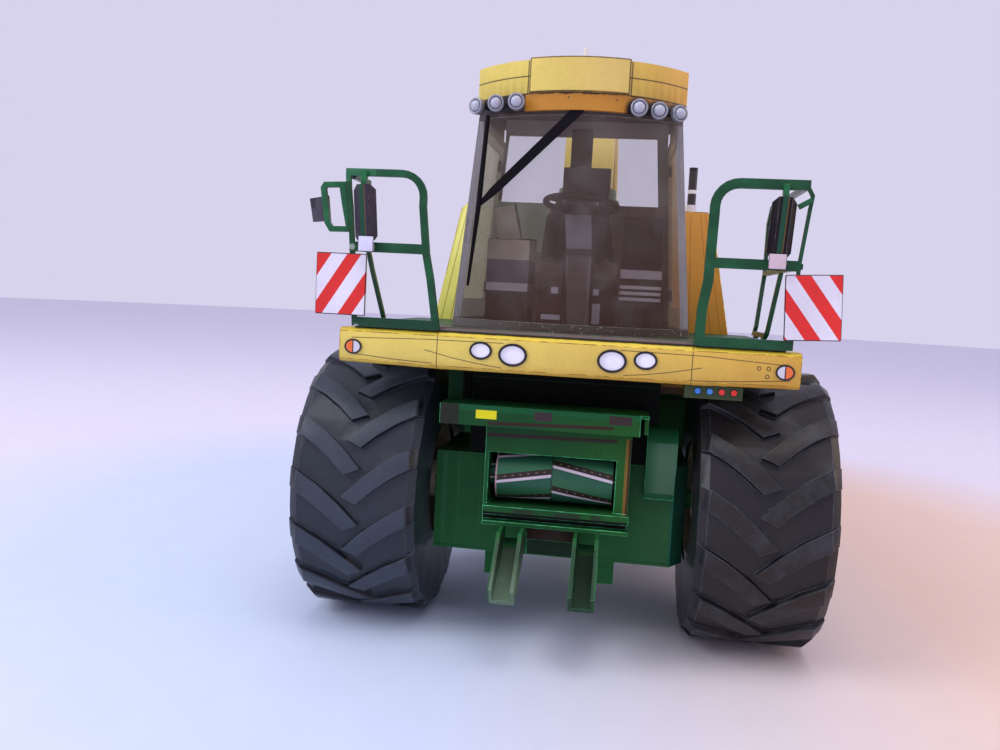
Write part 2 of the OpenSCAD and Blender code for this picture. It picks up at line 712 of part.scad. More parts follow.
// One edge of a flat strip that follows an open line of points, w / 2 to the left of it
function strip_edge(p, w) = [for (i = [0:len(p) - 1]) let (
    n = len(p) - 1,
    a = left_of(unit(p[max(i, 1)] - p[max(i, 1) - 1])),
    b = left_of(unit(p[min(i + 1, n)] - p[min(i, n - 1)])),
    m = unit(a + b))
    p[i] + m * w / 2 / (m * a)];

module strip(p, w) polygon(concat(strip_edge(p, w), reversed(strip_edge(p, -w))));

// Front guard frame in x and z. leg is its inner upright from the platform up, as distance from the
// middle and height, bend its top corner's radius, and post its outer upright from the top down.
// rise lifts its top above the rails' height, and w is the width of the inner upright and the top.
module guard_frame(leg, bend, post, post_w, rise, w) {
    last = leg[len(leg) - 1];
    top = rail_z1 + rise - w / 2;
    corner = arc_points([last[0] + bend, top - bend], bend, 180, 90, 6);
    strip(concat([for (p = leg) [p[0], rail_z0 + p[1]]], corner,
        [[post[0][0] + post_w / 2, top]]), w);
    strip([for (p = post) [p[0], rail_z0 + p[1]]], post_w);
    strip([[leg[2][0], rail_mid_z], [post[3][0] + post_w / 2, rail_mid_z]], 2.3);
    strip([[leg[0][0], rail_z0 + 1.5], [post[4][0] + post_w / 2, rail_z0 + 1.5]], 2.2);
}

left_rise = 1;
left_leg = [[30.7, 0.4], [30.9, 8.9], [31.8, 15], [32.1, 30]];
left_post = [[51.9, 36.4], [52.9, 34.6], [52.5, 31.5], [51.2, 19.2], [50.9, 0.8]];
right_leg = [[30.1, 0.4], [32, 12.2], [33.3, 18.2], [34.5, 29]];
right_post = [[52.8, 35.9], [52.6, 33], [52, 28], [51.3, 19.2], [50.1, 0.8]];

module front_rails() place() color("#1f5336") backwards(0, rail_t) {
    guard_frame(left_leg, 5.2, left_post, 0.7, left_rise, rail_w + 0.2);
    mirror([1, 0]) guard_frame(right_leg, 5.3, right_post, 1.1, 0.4, rail_w - 0.3);
}

// Turns the lower part of a side rail inwards about the middle rail
module leaned() translate([side_rail_x, 0, rail_mid_z]) rotate([0, side_lean, 0])
    translate([-side_rail_x, 0, -rail_mid_z]) children();

// Side rails: a whole frame on the machine's left, a short one with a brace on its right
module side_rails() place() color("#1f5336") {
    x0 = side_rail_x;
    x1 = side_rail_x + 1;
    w = side_rail_w;
    top = rail_z1 - w;
    foot = rail_z0 + 2.6;
    near = side_rail_len / 2;
    far = side_rail_len;
    high = top + left_rise;
    across(x0, x1) {
        strip([[rail_t, high], [far - 4, high], [far, high - 4], [far, rail_mid_z - w / 2]], w);
        strip([[rail_t, rail_mid_z], [far, rail_mid_z]], w);
        strip([[near, high], [near, rail_mid_z]], w);
    }
    leaned() across(x0, x1) {
        strip([[near - 0.6, rail_mid_z], [near + 0.6, foot + 1], [near + 2, foot], [far - 4, foot],
            [far - 5, foot + 2], [far, rail_mid_z]], w);
        strip([[near + 4, foot], [near + 4, rail_z0 + 1.4]], 3);
        strip([[far - 8, foot], [far - 8, rail_z0 + 1.4]], 3);
    }
    mirror([1, 0, 0]) {
        across(x0, x1) {
            strip([[rail_t, top], [13, top], [15, rail_mid_z - w / 2]], w);
            strip([[rail_t, rail_mid_z], [15, rail_mid_z]], w);
        }
        leaned() across(x0, x1) strip([[15, rail_mid_z], [17, rail_mid_z - 5], [23.6, rail_z0 + 1.65]], w);
    }
}

// Mirror heads and what goes with them: side, distance from the middle, height of the foot, lean
mirror_rows = [[1, 46.3, rail_mid_z + 1.8, 2.6], [-1, 47.5, rail_mid_z + 1.4, 4.4]];

module mirrors() place() color("#4b4450") for (row = mirror_rows)
    translate([row[0] * row[1], 0, row[2]]) rotate([0, row[0] * row[3], 0]) intersection() {
        w = mirror_w / 2;
        h = mirror_h;
        linear_extrude(h) polygon([[-w, -0.9], [-w / 2, -2.3], [w / 2, -2.3], [w, -0.9],
            [w, -0.3], [-w, -0.3]]);
        backwards(-3, 4) polygon([[-w, 1], [-w + 0.8, 0], [w - 0.8, 0], [w, 1], [w, h - 1.2],
            [w - 1.2, h], [-w + 1.2, h], [-w, h - 1.2]]);
    }

// Brackets that hold the mirrors, an arm on the machine's left, and a loop with a plate on its right
module mirror_arms() place() color("#1f5336") {
    for (row = mirror_rows) {
        x = row[0] * (row[1] + mirror_h * sin(row[3]));
        top = row[2] + mirror_h * cos(row[3]);
        block([x - 0.6, x + 0.6], [-1.8, 0], [top + 0.4, rail_z1 - 0.2]);
        block([x - 0.6, x + 0.6], [-1.8, -0.8], [top + 0.05, top + 0.4]);
    }
    backwards(-0.8, 0.8) strip([[49.9, rail_z0 + 32], [52.6, rail_z0 + 33.6]], 1.2);
    mirror([1, 0, 0]) {
        backwards(0, rail_t) strip([[53.27, rail_z0 + 33.6], [58.3, rail_z0 + 33.4], [58.8, rail_z0 + 32.6],
            [57.6, rail_z0 + 24.6], [56.6, rail_z0 + 23.1], [52.25, rail_z0 + 23.2]], 1.3);
        backwards(0, rail_t) polygon([[53.27, rail_z0 + 33.4], [52.65, rail_z0 + 28],
            [52.27, rail_z0 + 23.3], [52.9, rail_z0 + 23.5], [54.1, rail_z0 + 29], [54.9, rail_z0 + 33.4]]);
        backwards(rail_t, 0.5) polygon([[62.5, rail_z0 + 30.1], [57.8, rail_z0 + 31], [57.1, rail_z0 + 25],
            [61.5, rail_z0 + 24.6]]);
    }
}

// White reflectors over the middle rail: x0, width, foot and height
module reflectors() place() color("#e9e6ee") for (row = [[44.1, 3.8, -1, 3.4], [-48.9, 3.6, -1.2, 3.6]]) {
    z = rail_mid_z + row[2];
    block([row[0], row[0] + row[1]], [-2.8, -2.4], [z, z + row[3]]);
    block([row[0] + 0.4, row[0] + row[1] - 0.4], [-2.4, 0], [z + 0.2, z + 2]);
}

module warning_boards() place() color("#e9e6e6") {
    z = rail_z0 + 2.9;
    for (row = [[48.6, -2.7], [-47.3 - board_w, 0]])
        translate([row[0] + board_w / 2, 0, z + board_h / 2]) rotate([0, row[1], 0])
            block([-board_w / 2, board_w / 2], [-0.8, 0], [-board_h / 2, board_h / 2]);
}

// Rear body

function hood_section() = [[-hood_half, hood_foot], [-hood_half, hood_waist_z],
    [-hood_top_half, hood_top - hood_chamfer], [-hood_top_half + hood_chamfer, hood_top],
    [hood_top_half - hood_chamfer, hood_top], [hood_top_half, hood_top - hood_chamfer],
    [hood_half, hood_waist_z], [hood_half, hood_foot]];

module hood() place() color("#e6cb62") intersection() {
    backwards(hood_front, hood_len) polygon(hood_section());
    across(-hood_half - 1, hood_half + 1) polygon([[hood_front, hood_foot], [hood_front, hood_top],
        [hood_front + 56, hood_top], [hood_back - 14, hood_top - 7], [hood_back, hood_top - 18],
        [hood_back, hood_foot]]);
}

// Louvred side panels on the slanted sides of the rear body
module hood_grilles() place() color("#26302a") {
    panels = [[hood_front + 22, 44], [hood_front + 76, 62]];
    pitch = 2.9;
    both_sides() for (panel = panels)
        translate([hood_half, panel[0], hood_waist_z]) rotate([0, -hood_slope, 0]) {
            block([0, 0.6], [0, panel[1]], [3, 22]);
            for (k = [0:5]) translate([0, 0, 4.6 + pitch * k])
                block([0.6, 1.5], [1.5, panel[1] - 1.5], [0, 1.3]);
        }
}

module rear_grille() place() color("#26302a") {
    block([-24, 24], [hood_back, hood_back + 0.6], [hood_foot + 5, hood_foot + 33]);
    for (k = [0:8]) block([-22.5, 22.5], [hood_back + 0.6, hood_back + 1.4],
        [hood_foot + 6.6 + 2.9 * k, hood_foot + 7.9 + 2.9 * k]);
}

module rear_lamps() place() color("#b5322e") both_sides() {
    block([29, 41], [hood_back, hood_back + 1.2], [hood_foot + 8, hood_foot + 13]);
    block([29, 33], [hood_back, hood_back + 1.2], [hood_foot + 15, hood_foot + 18]);
}

module exhaust() place() color("#4a4a4e") translate([33.2, hood_front + 24, hood_top]) {
    cylinder(r = 1.35, h = 16.5, $fn = 32);
    cylinder(r = 1.7, h = 4.4, $fn = 32);
}

module spout_turret() place() color("#2d6b40") translate([0, swivel_y, hood_top]) difference() {
    cylinder(r = turret_r, h = turret_h, $fn = 64);
    translate([0, 0, -1]) cylinder(r = swivel_pin_r + shaft_gap, h = turret_h + 2, $fn = 48);
}

// Side outline of the spout between two depths below its outer curve
function spout_line(shift) = concat(
    arc_points([swivel_y + spout_bend_r, spout_bend_z], spout_bend_r + spout_d / 2 - shift, 180, 90, 12),
    [for (i = [1:10]) let (s = i / 10, a = asin(s * spout_reach / spout_fall_r),
            slim = 1 - (1 - spout_end_d / spout_d) * s,
            thin = spout_d / 2 * slim - shift * slim)
        [swivel_y + spout_bend_r + (spout_fall_r + thin) * sin(a),
            spout_bend_z + spout_bend_r - spout_fall_r + (spout_fall_r + thin) * cos(a)]]);

function reversed(list) = [for (i = [len(list) - 1:-1:0]) list[i]];

module spout() place() color("#e6cb62") {
    translate([0, swivel_y, 0]) {
        translate([0, 0, spout_foot_z]) cylinder(r = turret_r - 1, h = collar_h, $fn = 64);
        translate([0, 0, hood_top + 0.4]) cylinder(r = swivel_pin_r, h = spout_foot_z - hood_top, $fn = 48);
    }
    difference() {
        across(-spout_w / 2, spout_w / 2) polygon(concat(spout_line(0), reversed(spout_line(spout_d))));
        across(-spout_w / 2 + spout_wall, spout_w / 2 - spout_wall) intersection() {
            polygon(concat(spout_line(spout_wall * 1.4), reversed(spout_line(spout_d + 3))));
            translate([swivel_y + spout_bend_r, 0]) square([spout_reach + 50, 2 * spout_bend_z]);
        }
    }
}

// Between the axles, and at the back

tank_y = hood_front + 12;

module side_tank() place() color("#27543a") both_sides()
    block([chassis_x + 4, hood_half - 1], [tank_y, tank_y + tank_len], [hood_foot - tank_h, hood_foot]);

module step_box() place() color("#2d6b40") both_sides() {
    y = tank_y + tank_len + 2;
    block([chassis_x + 4, hood_half - 4], [y, y + 10], [hood_foot - step_box_h, hood_foot]);
}

// Ladder behind the front wheel on the machine's left: two side plates and the treads between them
module ladder() place() color("#1f5336") {
    y = hood_front + 8;
    in = hood_half + 2;
    out = in + ladder_w;
    z0 = deck_z - 1.7 - 5 * tread_pitch;
    for (y0 = [y, y + ladder_t + tread_len]) backwards(y0, ladder_t)
        polygon([[hood_half, hood_foot + 2], [hood_half, deck_z - 2], [out, deck_z - 2],
            [out, z0], [in, z0], [in, hood_foot + 2]]);
    for (k = [0:4]) translate([0, 0, z0 + 2 + tread_pitch * k])
        block([in, out], [y + ladder_t, y + ladder_t + tread_len], [0, ladder_t]);
}

module tow_hitch() place() color("#2d6b40") difference() {
    union() {
        block([-chassis_x, chassis_x], [hood_back - 2, hood_back], [rail_beam_z - 4, hood_foot - 4]);
        block([-4, 4], [hood_back, hood_back + hitch_len], [rail_beam_z, rail_beam_z + 3]);
    }
    translate([0, hood_back + hitch_len - 3.2, rail_beam_z - 1]) cylinder(r = hitch_bore_r, h = 5, $fn = 32);
}

chassis();
front_axle();
rear_axle();
chopper_housing();
feed_frame();
feed_roller();
coupling_hooks();
coupler_block();
fascia();
fascia_lamps();
platform();
cab_frame();
cab_doors();
windscreen();
side_glass();
rear_glass();
roof();
roof_sign();
work_lamps();
antenna();
wiper();
seat();
steering_column();
consoles();
front_rails();
side_rails();
mirrors();
mirror_arms();
reflectors();
warning_boards();
hood();
hood_grilles();
rear_grille();
rear_lamps();
exhaust();
spout_turret();
spout();
side_tank();
step_box();
ladder();
tow_hitch();
tyre_front_left();
tyre_front_right();
tyre_rear_left();
tyre_rear_right();
rim_front_left();
rim_front_right();
rim_rear_left();
rim_rear_right();
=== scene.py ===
"""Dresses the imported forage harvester, a card model: printed card, clear film and painted strips."""

import math

import bmesh

import bpy
from bpy.props import FloatProperty, FloatVectorProperty, PointerProperty
from bpy.types import Operator, Panel, PropertyGroup
from mathutils import Euler, Matrix, Vector


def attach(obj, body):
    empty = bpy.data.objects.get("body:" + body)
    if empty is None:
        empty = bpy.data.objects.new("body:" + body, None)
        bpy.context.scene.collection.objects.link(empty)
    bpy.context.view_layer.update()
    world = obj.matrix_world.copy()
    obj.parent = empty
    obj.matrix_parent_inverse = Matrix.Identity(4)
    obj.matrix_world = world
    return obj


bl_info = {
    "name": "Card forage harvester",
    "version": (1, 0, 0),
    "blender": (4, 5, 0),
    "location": "3D View > Sidebar > Harvester",
    "description": "Printed card, film and painted strips on the packed harvester",
    "category": "Object",
}

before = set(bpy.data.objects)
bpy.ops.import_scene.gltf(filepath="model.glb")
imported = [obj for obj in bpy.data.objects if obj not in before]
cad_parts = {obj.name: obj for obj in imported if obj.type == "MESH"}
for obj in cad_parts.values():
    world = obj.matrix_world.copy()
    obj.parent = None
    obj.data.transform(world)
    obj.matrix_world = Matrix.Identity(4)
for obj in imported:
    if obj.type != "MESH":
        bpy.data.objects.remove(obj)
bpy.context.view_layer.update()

# Lengths are millimetres until row() turns them into the frame's metres.
# y is counted back from the front face of the beam, as in the part's source.
MM = 0.001
MID_Y = 111.5
ALL = (-500, 500)

# Wheels: an axle is (y, z); half is how far out the tyre's face lies and dish how far in the rim's.
FRONT_AXLE = (33.5, 35.5)
REAR_AXLE = (159.5, 28.0)
FRONT_TYRE = {"r": 35.5, "rim": 16.3, "half": 65.0, "dish": 9.5, "nuts": 10}
REAR_TYRE = {"r": 28.0, "rim": 12.2, "half": 60.0, "dish": 8.5, "nuts": 8}
LUG_H = 1.4
BEAM_Z = 69.0
DECK_Z = 77.7
ROOF_Z0 = 134.4
ROOF_Z1 = 142.0
CEILING_Z = 137.0
ROOF_ROUND = (36.0, 32.6)
SIGN_HALF = 11.6
# Feed roller: its axle, how many bars go round it, and where across the two halves meet.
ROLLER = {"y": 17.5, "z": 41.9, "bars": 6, "meet": -1.6}
# Each work lamp's middle, and how far it turns outwards in degrees.
WORK_LAMPS = ((-14.2, 4.4, 131.9, 0), (-19.3, 6.6, 131.9, 0), (-23.9, 9.8, 131.9, -30),
              (14.0, 4.4, 131.1, 0), (18.6, 6.6, 131.0, 0), (22.7, 9.6, 131.1, 30))
HOOD_FRONT = 66.0
HOOD_BACK = 226.0
HOOD_TOP = 115.0


def row(x, y, z):
    """A point in millimetres as a point of the frame."""
    return Vector((x, y - MID_Y, z)) * MM


def linear(colour):
    """A colour as a screen shows it, 0 to 255, as the light values that a shader takes."""
    parts = [c / 255 for c in colour]
    return tuple(c / 12.92 if c <= 0.04045 else ((c + 0.055) / 1.055) ** 2.4 for c in parts) + (1.0,)


# Shader building


class Wires:
    """A few short words for adding and joining the nodes of one tree."""

    def __init__(self, tree):
        self.tree = tree

    def add(self, kind, **settings):
        node = self.tree.nodes.new(kind)
        for key, value in settings.items():
            setattr(node, key, value)
        return node

    def feed(self, socket, value):
        """Links a socket where there is one, and sets the value otherwise."""
        if isinstance(value, bpy.types.NodeSocket):
            self.tree.links.new(value, socket)
        else:
            socket.default_value = value

    def math(self, operation, *values, clamp=False):
        node = self.add("ShaderNodeMath", operation=operation, use_clamp=clamp)
        for socket, value in zip(node.inputs, values):
            self.feed(socket, value)
        return node.outputs[0]

    def vector(self, operation, *values):
        node = self.add("ShaderNodeVectorMath", operation=operation)
        for socket, value in zip(node.inputs, values):
            self.feed(socket, value)
        single = operation in ("LENGTH", "DOT_PRODUCT", "DISTANCE")
        return node.outputs["Value" if single else "Vector"]

    def scaled(self, vector, amount):
        node = self.add("ShaderNodeVectorMath", operation="SCALE")
        self.feed(node.inputs["Vector"], vector)
        self.feed(node.inputs["Scale"], amount)
        return node.outputs["Vector"]

    def parts(self, vector):
        node = self.add("ShaderNodeSeparateXYZ")
        self.feed(node.inputs[0], vector)
        return node.outputs

    def mix(self, mask, below, above, blend="MIX"):
        node = self.add("ShaderNodeMix", data_type="RGBA", blend_type=blend, clamp_factor=True)
        colours = [s for s in node.inputs if s.type == "RGBA"]
        self.feed(node.inputs[0], mask)
        self.feed(colours[0], below)
        self.feed(colours[1], above)
        return next(s for s in node.outputs if s.type == "RGBA")

    def ramp(self, value, low, high, to_low=0.0, to_high=1.0):
        node = self.add("ShaderNodeMapRange", clamp=True)
        for socket, number in zip(node.inputs, (value, low, high, to_low, to_high)):
            self.feed(socket, number)
        return node.outputs[0]

    def noise(self, place, scale, detail=3.0, rough=0.55):
        node = self.add("ShaderNodeTexNoise", noise_dimensions="3D")
        self.feed(node.inputs["Vector"], place)
        self.feed(node.inputs["Scale"], scale)
        self.feed(node.inputs["Detail"], detail)
        self.feed(node.inputs["Roughness"], rough)
        return node.outputs["Fac"]


def mask_group(name, vectors, numbers, fill):
    """A node group that turns a place and its settings into a mask. fill makes its inside."""
    tree = bpy.data.node_groups.new(name, "ShaderNodeTree")
    for label in vectors:
        tree.interface.new_socket(label, in_out="INPUT", socket_type="NodeSocketVector")
    for label in numbers:
        tree.interface.new_socket(label, in_out="INPUT", socket_type="NodeSocketFloat")
    tree.interface.new_socket("Mask", in_out="OUTPUT", socket_type="NodeSocketFloat")
    wires = Wires(tree)
    given = wires.add("NodeGroupInput").outputs
    wires.feed(wires.add("NodeGroupOutput").inputs[0], fill(wires, *given[: len(vectors) + len(numbers)]))
    return tree


def box_fill(wires, place, centre, half, soft):
    away = wires.vector("ABSOLUTE", wires.vector("SUBTRACT", place, centre))
    x, y, z = wires.parts(wires.vector("SUBTRACT", away, half))
    most = wires.math("MAXIMUM", wires.math("MAXIMUM", x, y), z)
    return wires.math("SUBTRACT", 0.5, wires.math("DIVIDE", most, soft), clamp=True)


def oval_fill(wires, place, centre, radii, soft):
    away = wires.vector("DIVIDE", wires.vector("SUBTRACT", place, centre), radii)
    short = wires.math("SUBTRACT", 1.0, wires.vector("LENGTH", away))
    return wires.math("ADD", 0.5, wires.math("DIVIDE", short, soft), clamp=True)


def line_fill(wires, place, start, along, keep, width, soft):
    flat = wires.vector("MULTIPLY", wires.vector("SUBTRACT", place, start), keep)
    reach = wires.vector("DOT_PRODUCT", along, along)
    share = wires.math("DIVIDE", wires.vector("DOT_PRODUCT", flat, along), reach, clamp=True)
    away = wires.vector("LENGTH", wires.vector("SUBTRACT", flat, wires.scaled(along, share)))
    over = wires.math("SUBTRACT", wires.math("MULTIPLY", width, 0.5), away)
    return wires.math("ADD", 0.5, wires.math("DIVIDE", over, soft), clamp=True)


MASKS = {
    "box": mask_group("Inside a box", ("Place", "Centre", "Half"), ("Soft",), box_fill),
    "oval": mask_group("Inside an oval", ("Place", "Centre", "Radii"), ("Soft",), oval_fill),
    "line": mask_group("Near a line", ("Place", "Start", "Along", "Keep"), ("Width", "Soft"), line_fill),
}


class Card(Wires):
    """One printed card: its ground colour, the prints laid on it in order, and its surface."""

    def __init__(self, name, colour):
        self.material = bpy.data.materials.new(name)
        self.material.use_nodes = True
        super().__init__(self.material.node_tree)
        self.tree.nodes.clear()
        place = self.add("ShaderNodeTexCoord").outputs["Object"]
        place = self.vector("MULTIPLY_ADD", place, (1 / MM,) * 3, (0.0, MID_Y, 0.0))
        self.place = place
        self.x, self.y, self.z = self.parts(place)
        self.colour = linear(colour)

    def stamp(self, kind, *values):
        node = self.add("ShaderNodeGroup", node_tree=MASKS[kind])
        for socket, value in zip(node.inputs, (self.place, *values)):
            self.feed(socket, value)
        return node.outputs[0]

    def box(self, x=ALL, y=ALL, z=ALL, soft=0.12):
        spans = (x, y, z)
        return self.stamp("box", [sum(s) / 2 for s in spans], [(s[1] - s[0]) / 2 for s in spans], soft)

    def oval(self, centre, radii, soft=0.05):
        """An oval about centre; a radius of None runs right through."""
        spot = [0.0 if r is None else c for c, r in zip(centre, radii)]
        return self.stamp("oval", spot, [1e6 if r is None else r for r in radii], soft)

    def line(self, plane, points, width, soft=0.1):
        """A drawn line through points of one plane, named by its two letters."""
        found = None
        keep = [1.0 if axis in plane else 0.0 for axis in "xyz"]
        for a, b in zip(points, points[1:]):
            ends = [dict(zip(plane, p)) for p in (a, b)]
            start, end = [[e.get(axis, 0.0) for axis in "xyz"] for e in ends]
            along = [q - p for p, q in zip(start, end)]
            mask = self.stamp("line", start, along, keep, width, soft)
            found = mask if found is None else self.math("MAXIMUM", found, mask)
        return found

    def disc(self, axis, centre, r, soft=0.05):
        """A round that runs right through along an axis, named by its letter."""
        return self.oval(centre, [None if a == axis else r for a in "xyz"], soft)

    def ring(self, axis, centre, r, width, soft=0.05):
        """A round line about such an axis: r is its outer radius."""
        outer, inner = (self.disc(axis, centre, size, soft) for size in (r, r - width))
        return self.within(outer, self.outside(inner))

    def within(self, *masks):
        """Where all of the masks are."""
        found = masks[0]
        for mask in masks[1:]:
            found = self.math("MULTIPLY", found, mask)
        return found

    def crossed(self, first, second, waves):
        """Two sets of slanted waves that cross, so many radians for each millimetre."""
        return [self.math("SINE", self.math("MULTIPLY", self.math(way, first, second), waves))
                for way in ("ADD", "SUBTRACT")]

    def outside(self, mask):
        return self.math("SUBTRACT", 1.0, mask)

    def lay(self, mask, colour, share=1.0):
        """Prints a colour, 0 to 255 or a socket, where the mask is."""
        if share != 1.0:
            mask = self.math("MULTIPLY", mask, share)
        above = linear(colour) if isinstance(colour, tuple) else colour
        self.colour = self.mix(mask, self.colour, above)
        return self

    def patch(self, colour, share=1.0, **spans):
        """Lays a colour on a box."""
        return self.lay(self.box(**spans), colour, share)

    def draw(self, area, plane, points, width, colour, share=1.0):
        """Lays a line that shows inside one area only."""
        return self.lay(self.within(area, self.line(plane, points, width)), colour, share)

    def done(self, rough=0.5, depth=None, blotch=None, coat=0.0, metal=0.0, alpha=1.0, spread=0.15, painted_glow=0.0,
             shine=0.3):
        """Ends in the shader. depth is the card's grain in millimetres and blotch how uneven it is, both the
        user's where none is given, painted_glow a glow in the card's own colour that paints in the daylight
        through thin film or card, and shine how much it mirrors."""
        look = bpy.context.scene.harvester_surface
        depth = look.grain if depth is None else depth
        blotch = look.blotch if blotch is None else blotch
        slow = self.noise(self.place, 0.07, 3.0)
        fine = self.noise(self.place, 1.1, 4.0, 0.65)
        uneven = self.math("ADD", self.math("MULTIPLY", slow, 0.65), self.math("MULTIPLY", fine, 0.35))
        shade = self.ramp(uneven, 0.33, 0.67, 1.0 - blotch, 1.0 + blotch * 0.7)
        tone = self.add("ShaderNodeCombineXYZ")
        for socket in tone.inputs:
            self.feed(socket, shade)
        shader = self.add("ShaderNodeBsdfPrincipled")
        self.feed(shader.inputs["Base Color"], self.mix(1.0, self.colour, tone.outputs[0], "MULTIPLY"))
        gloss = self.ramp(fine, 0.3, 0.7, rough - spread / 2, rough + spread / 2)
        self.feed(shader.inputs["Roughness"], gloss)
        shader.inputs["Metallic"].default_value = metal
        shader.inputs["Alpha"].default_value = alpha
        shader.inputs["Specular IOR Level"].default_value = shine
        # Painted light: the card glows in its own colour.
        if painted_glow:
            self.feed(shader.inputs["Emission Color"], self.colour)
            shader.inputs["Emission Strength"].default_value = painted_glow
        if coat:
            shader.inputs["Coat Weight"].default_value = coat
            shader.inputs["Coat Roughness"].default_value = 0.25
        bump = self.add("ShaderNodeBump")
        bump.inputs["Strength"].default_value = 0.6
        bump.inputs["Distance"].default_value = depth * MM
        self.feed(bump.inputs["Height"], self.noise(self.place, 2.2, 4.0, 0.7))
        self.feed(shader.inputs["Normal"], bump.outputs[0])
        self.feed(self.add("ShaderNodeOutputMaterial").inputs["Surface"], shader.outputs[0])
        return self.material


def edge_ink(name, dark, light, rough=0.5):
    """The cut edge of a card: two inks that come and go along it."""
    card = Card(name, dark)
    card.lay(card.ramp(card.noise(card.place, 0.45, 4.0), 0.42, 0.62), light)
    return card.done(rough=rough, depth=0.05, blotch=0.2)


# Mesh building


def creased_shading():
    """A modifier's node tree: smooth shading that breaks where a surface turns by over 35 degrees."""
    tree = bpy.data.node_groups.new("Creased shading", "GeometryNodeTree")
    for way in ("INPUT", "OUTPUT"):
        tree.interface.new_socket("Geometry", in_out=way, socket_type="NodeSocketGeometry")
    wires = Wires(tree)
    faces = wires.add("GeometryNodeSetShadeSmooth", domain="FACE")
    edges = wires.add("GeometryNodeSetShadeSmooth", domain="EDGE")
    angle = wires.add("GeometryNodeInputMeshEdgeAngle").outputs["Unsigned Angle"]
    wires.feed(faces.inputs["Geometry"], wires.add("NodeGroupInput").outputs[0])
    wires.feed(edges.inputs["Geometry"], faces.outputs["Geometry"])
    wires.feed(edges.inputs["Shade Smooth"], wires.math("LESS_THAN", angle, math.radians(35)))
    wires.feed(wires.add("NodeGroupOutput").inputs[0], edges.outputs["Geometry"])
    return tree


CREASED = creased_shading()


def dress(name, card, edge=None, width=0.16, rounds=1, angle=30):
    """Gives a CAD node its card and, where edge is given, rounded edges in that ink."""
    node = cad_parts[name]
    node.data.materials.clear()
    node.data.materials.append(card)
    normals = node.data.attributes.get("custom_normal")
    if normals:
        node.data.attributes.remove(normals)
    weld = node.modifiers.new("Weld", "WELD")
    weld.merge_threshold = 1e-5
    if edge:
        node.data.materials.append(edge)
        bevel = node.modifiers.new("Edge", "BEVEL")
        bevel.width = width * MM
        bevel.segments = rounds
        bevel.limit_method = "ANGLE"
        bevel.angle_limit = math.radians(angle)
        bevel.material = 1
    node.modifiers.new("Shading", "NODES").node_group = CREASED
    return node


def piece(name, points, faces, card, body="machine", smooth=False):
    """A new mesh through points in millimetres, riding on a body."""
    mesh = bpy.data.meshes.new(name)
    mesh.from_pydata([row(*p) for p in points], [], faces)
    mesh.materials.append(card)
    mesh.validate()
    for polygon in mesh.polygons:
        polygon.use_smooth = smooth
    thing = bpy.data.objects.new(name, mesh)
    bpy.context.scene.collection.objects.link(thing)
    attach(thing, body)
    return thing


class Forms:
    """Points and faces that several like shapes share, until they become one piece."""

    def __init__(self):
        self.points, self.faces = [], []

    def put(self, points, faces):
        base = len(self.points)
        self.points += [tuple(p) for p in points]
        self.faces += [tuple(base + i for i in face) for face in faces]

    def turned(self, profile, centre, axis, steps=24):
        """A turned shape: profile is (distance along the axis, radius), closed at both ends."""
        axis = Vector(axis).normalized()
        side = axis.orthogonal().normalized()
        other = axis.cross(side)
        points = []
        for along, r in profile:
            for k in range(steps):
                t = 2 * math.pi * k / steps
                points.append(Vector(centre) + axis * along + (side * math.cos(t) + other * math.sin(t)) * r)
        faces = []
        for start in range(0, (len(profile) - 1) * steps, steps):
            for k in range(steps):
                here, after = start + k, start + (k + 1) % steps
                faces.append((here, after, after + steps, here + steps))
        faces.append(tuple(reversed(range(steps))))
        faces.append(tuple((len(profile) - 1) * steps + k for k in range(steps)))
        self.put(points, faces)

    def make(self, name, card, body="machine", slot=None, smooth=False):
        thing = piece(name, self.points, self.faces, card, body, smooth)
        shape = bmesh.new()
        shape.from_mesh(thing.data)
        bmesh.ops.recalc_face_normals(shape, faces=shape.faces)
        shape.to_mesh(thing.data)
        shape.free()
        return thing


# What a user may change


class HARVESTER_PG_inks(PropertyGroup):
    """Inks of the printed cards."""

    yellow: FloatVectorProperty(
        name="Yellow card", description="Ground of the beam, the roof, the body and the spout",
        subtype="COLOR_GAMMA", size=3, min=0, max=1, default=(0.88, 0.79, 0.38))
    green: FloatVectorProperty(
        name="Green card", description="Ground of the frame and the intake",
        subtype="COLOR_GAMMA", size=3, min=0, max=1, default=(0.12, 0.34, 0.17))
    rail: FloatVectorProperty(
        name="Rail green", description="Paint on the rails and brackets",
        subtype="COLOR_GAMMA", size=3, min=0, max=1, default=(0.09, 0.28, 0.17))
    tyre: FloatVectorProperty(
        name="Tyre grey", description="Slate grey of the tyres",
        subtype="COLOR_GAMMA", size=3, min=0, max=1, default=(0.21, 0.235, 0.275))
    board_red: FloatVectorProperty(
        name="Board red", description="Slanted stripes of the warning boards",
        subtype="COLOR_GAMMA", size=3, min=0, max=1, default=(0.88, 0.17, 0.15))


class HARVESTER_PG_surface(PropertyGroup):
    """Surface of the card."""

    grain: FloatProperty(
        name="Grain depth", description="Depth of the card's grain, in millimetres",
        min=0, max=0.2, default=0.03)
    blotch: FloatProperty(
        name="Unevenness", description="How much the print's tone wanders",
        min=0, max=0.5, default=0.12)
    film: FloatProperty(
        name="Film haze", description="How much the cab's clear film hides",
        min=0.05, max=1, subtype="FACTOR", default=0.18)


class HARVESTER_PG_stage(PropertyGroup):
    """Floor and lights."""

    key: FloatProperty(
        name="Window light", description="Power of the soft light from the left, in watts",
        min=0, default=2.5)
    fill: FloatProperty(
        name="Warm fill", description="Power of the warm light from the right, in watts",
        min=0, default=1.5)
    sky: FloatProperty(
        name="Room light", description="Strength of the even light all round",
        min=0, default=1.0)


def ink(name):
    """An ink of the user's as three numbers up to 255."""
    return tuple(255 * c for c in getattr(bpy.context.scene.harvester_inks, name))


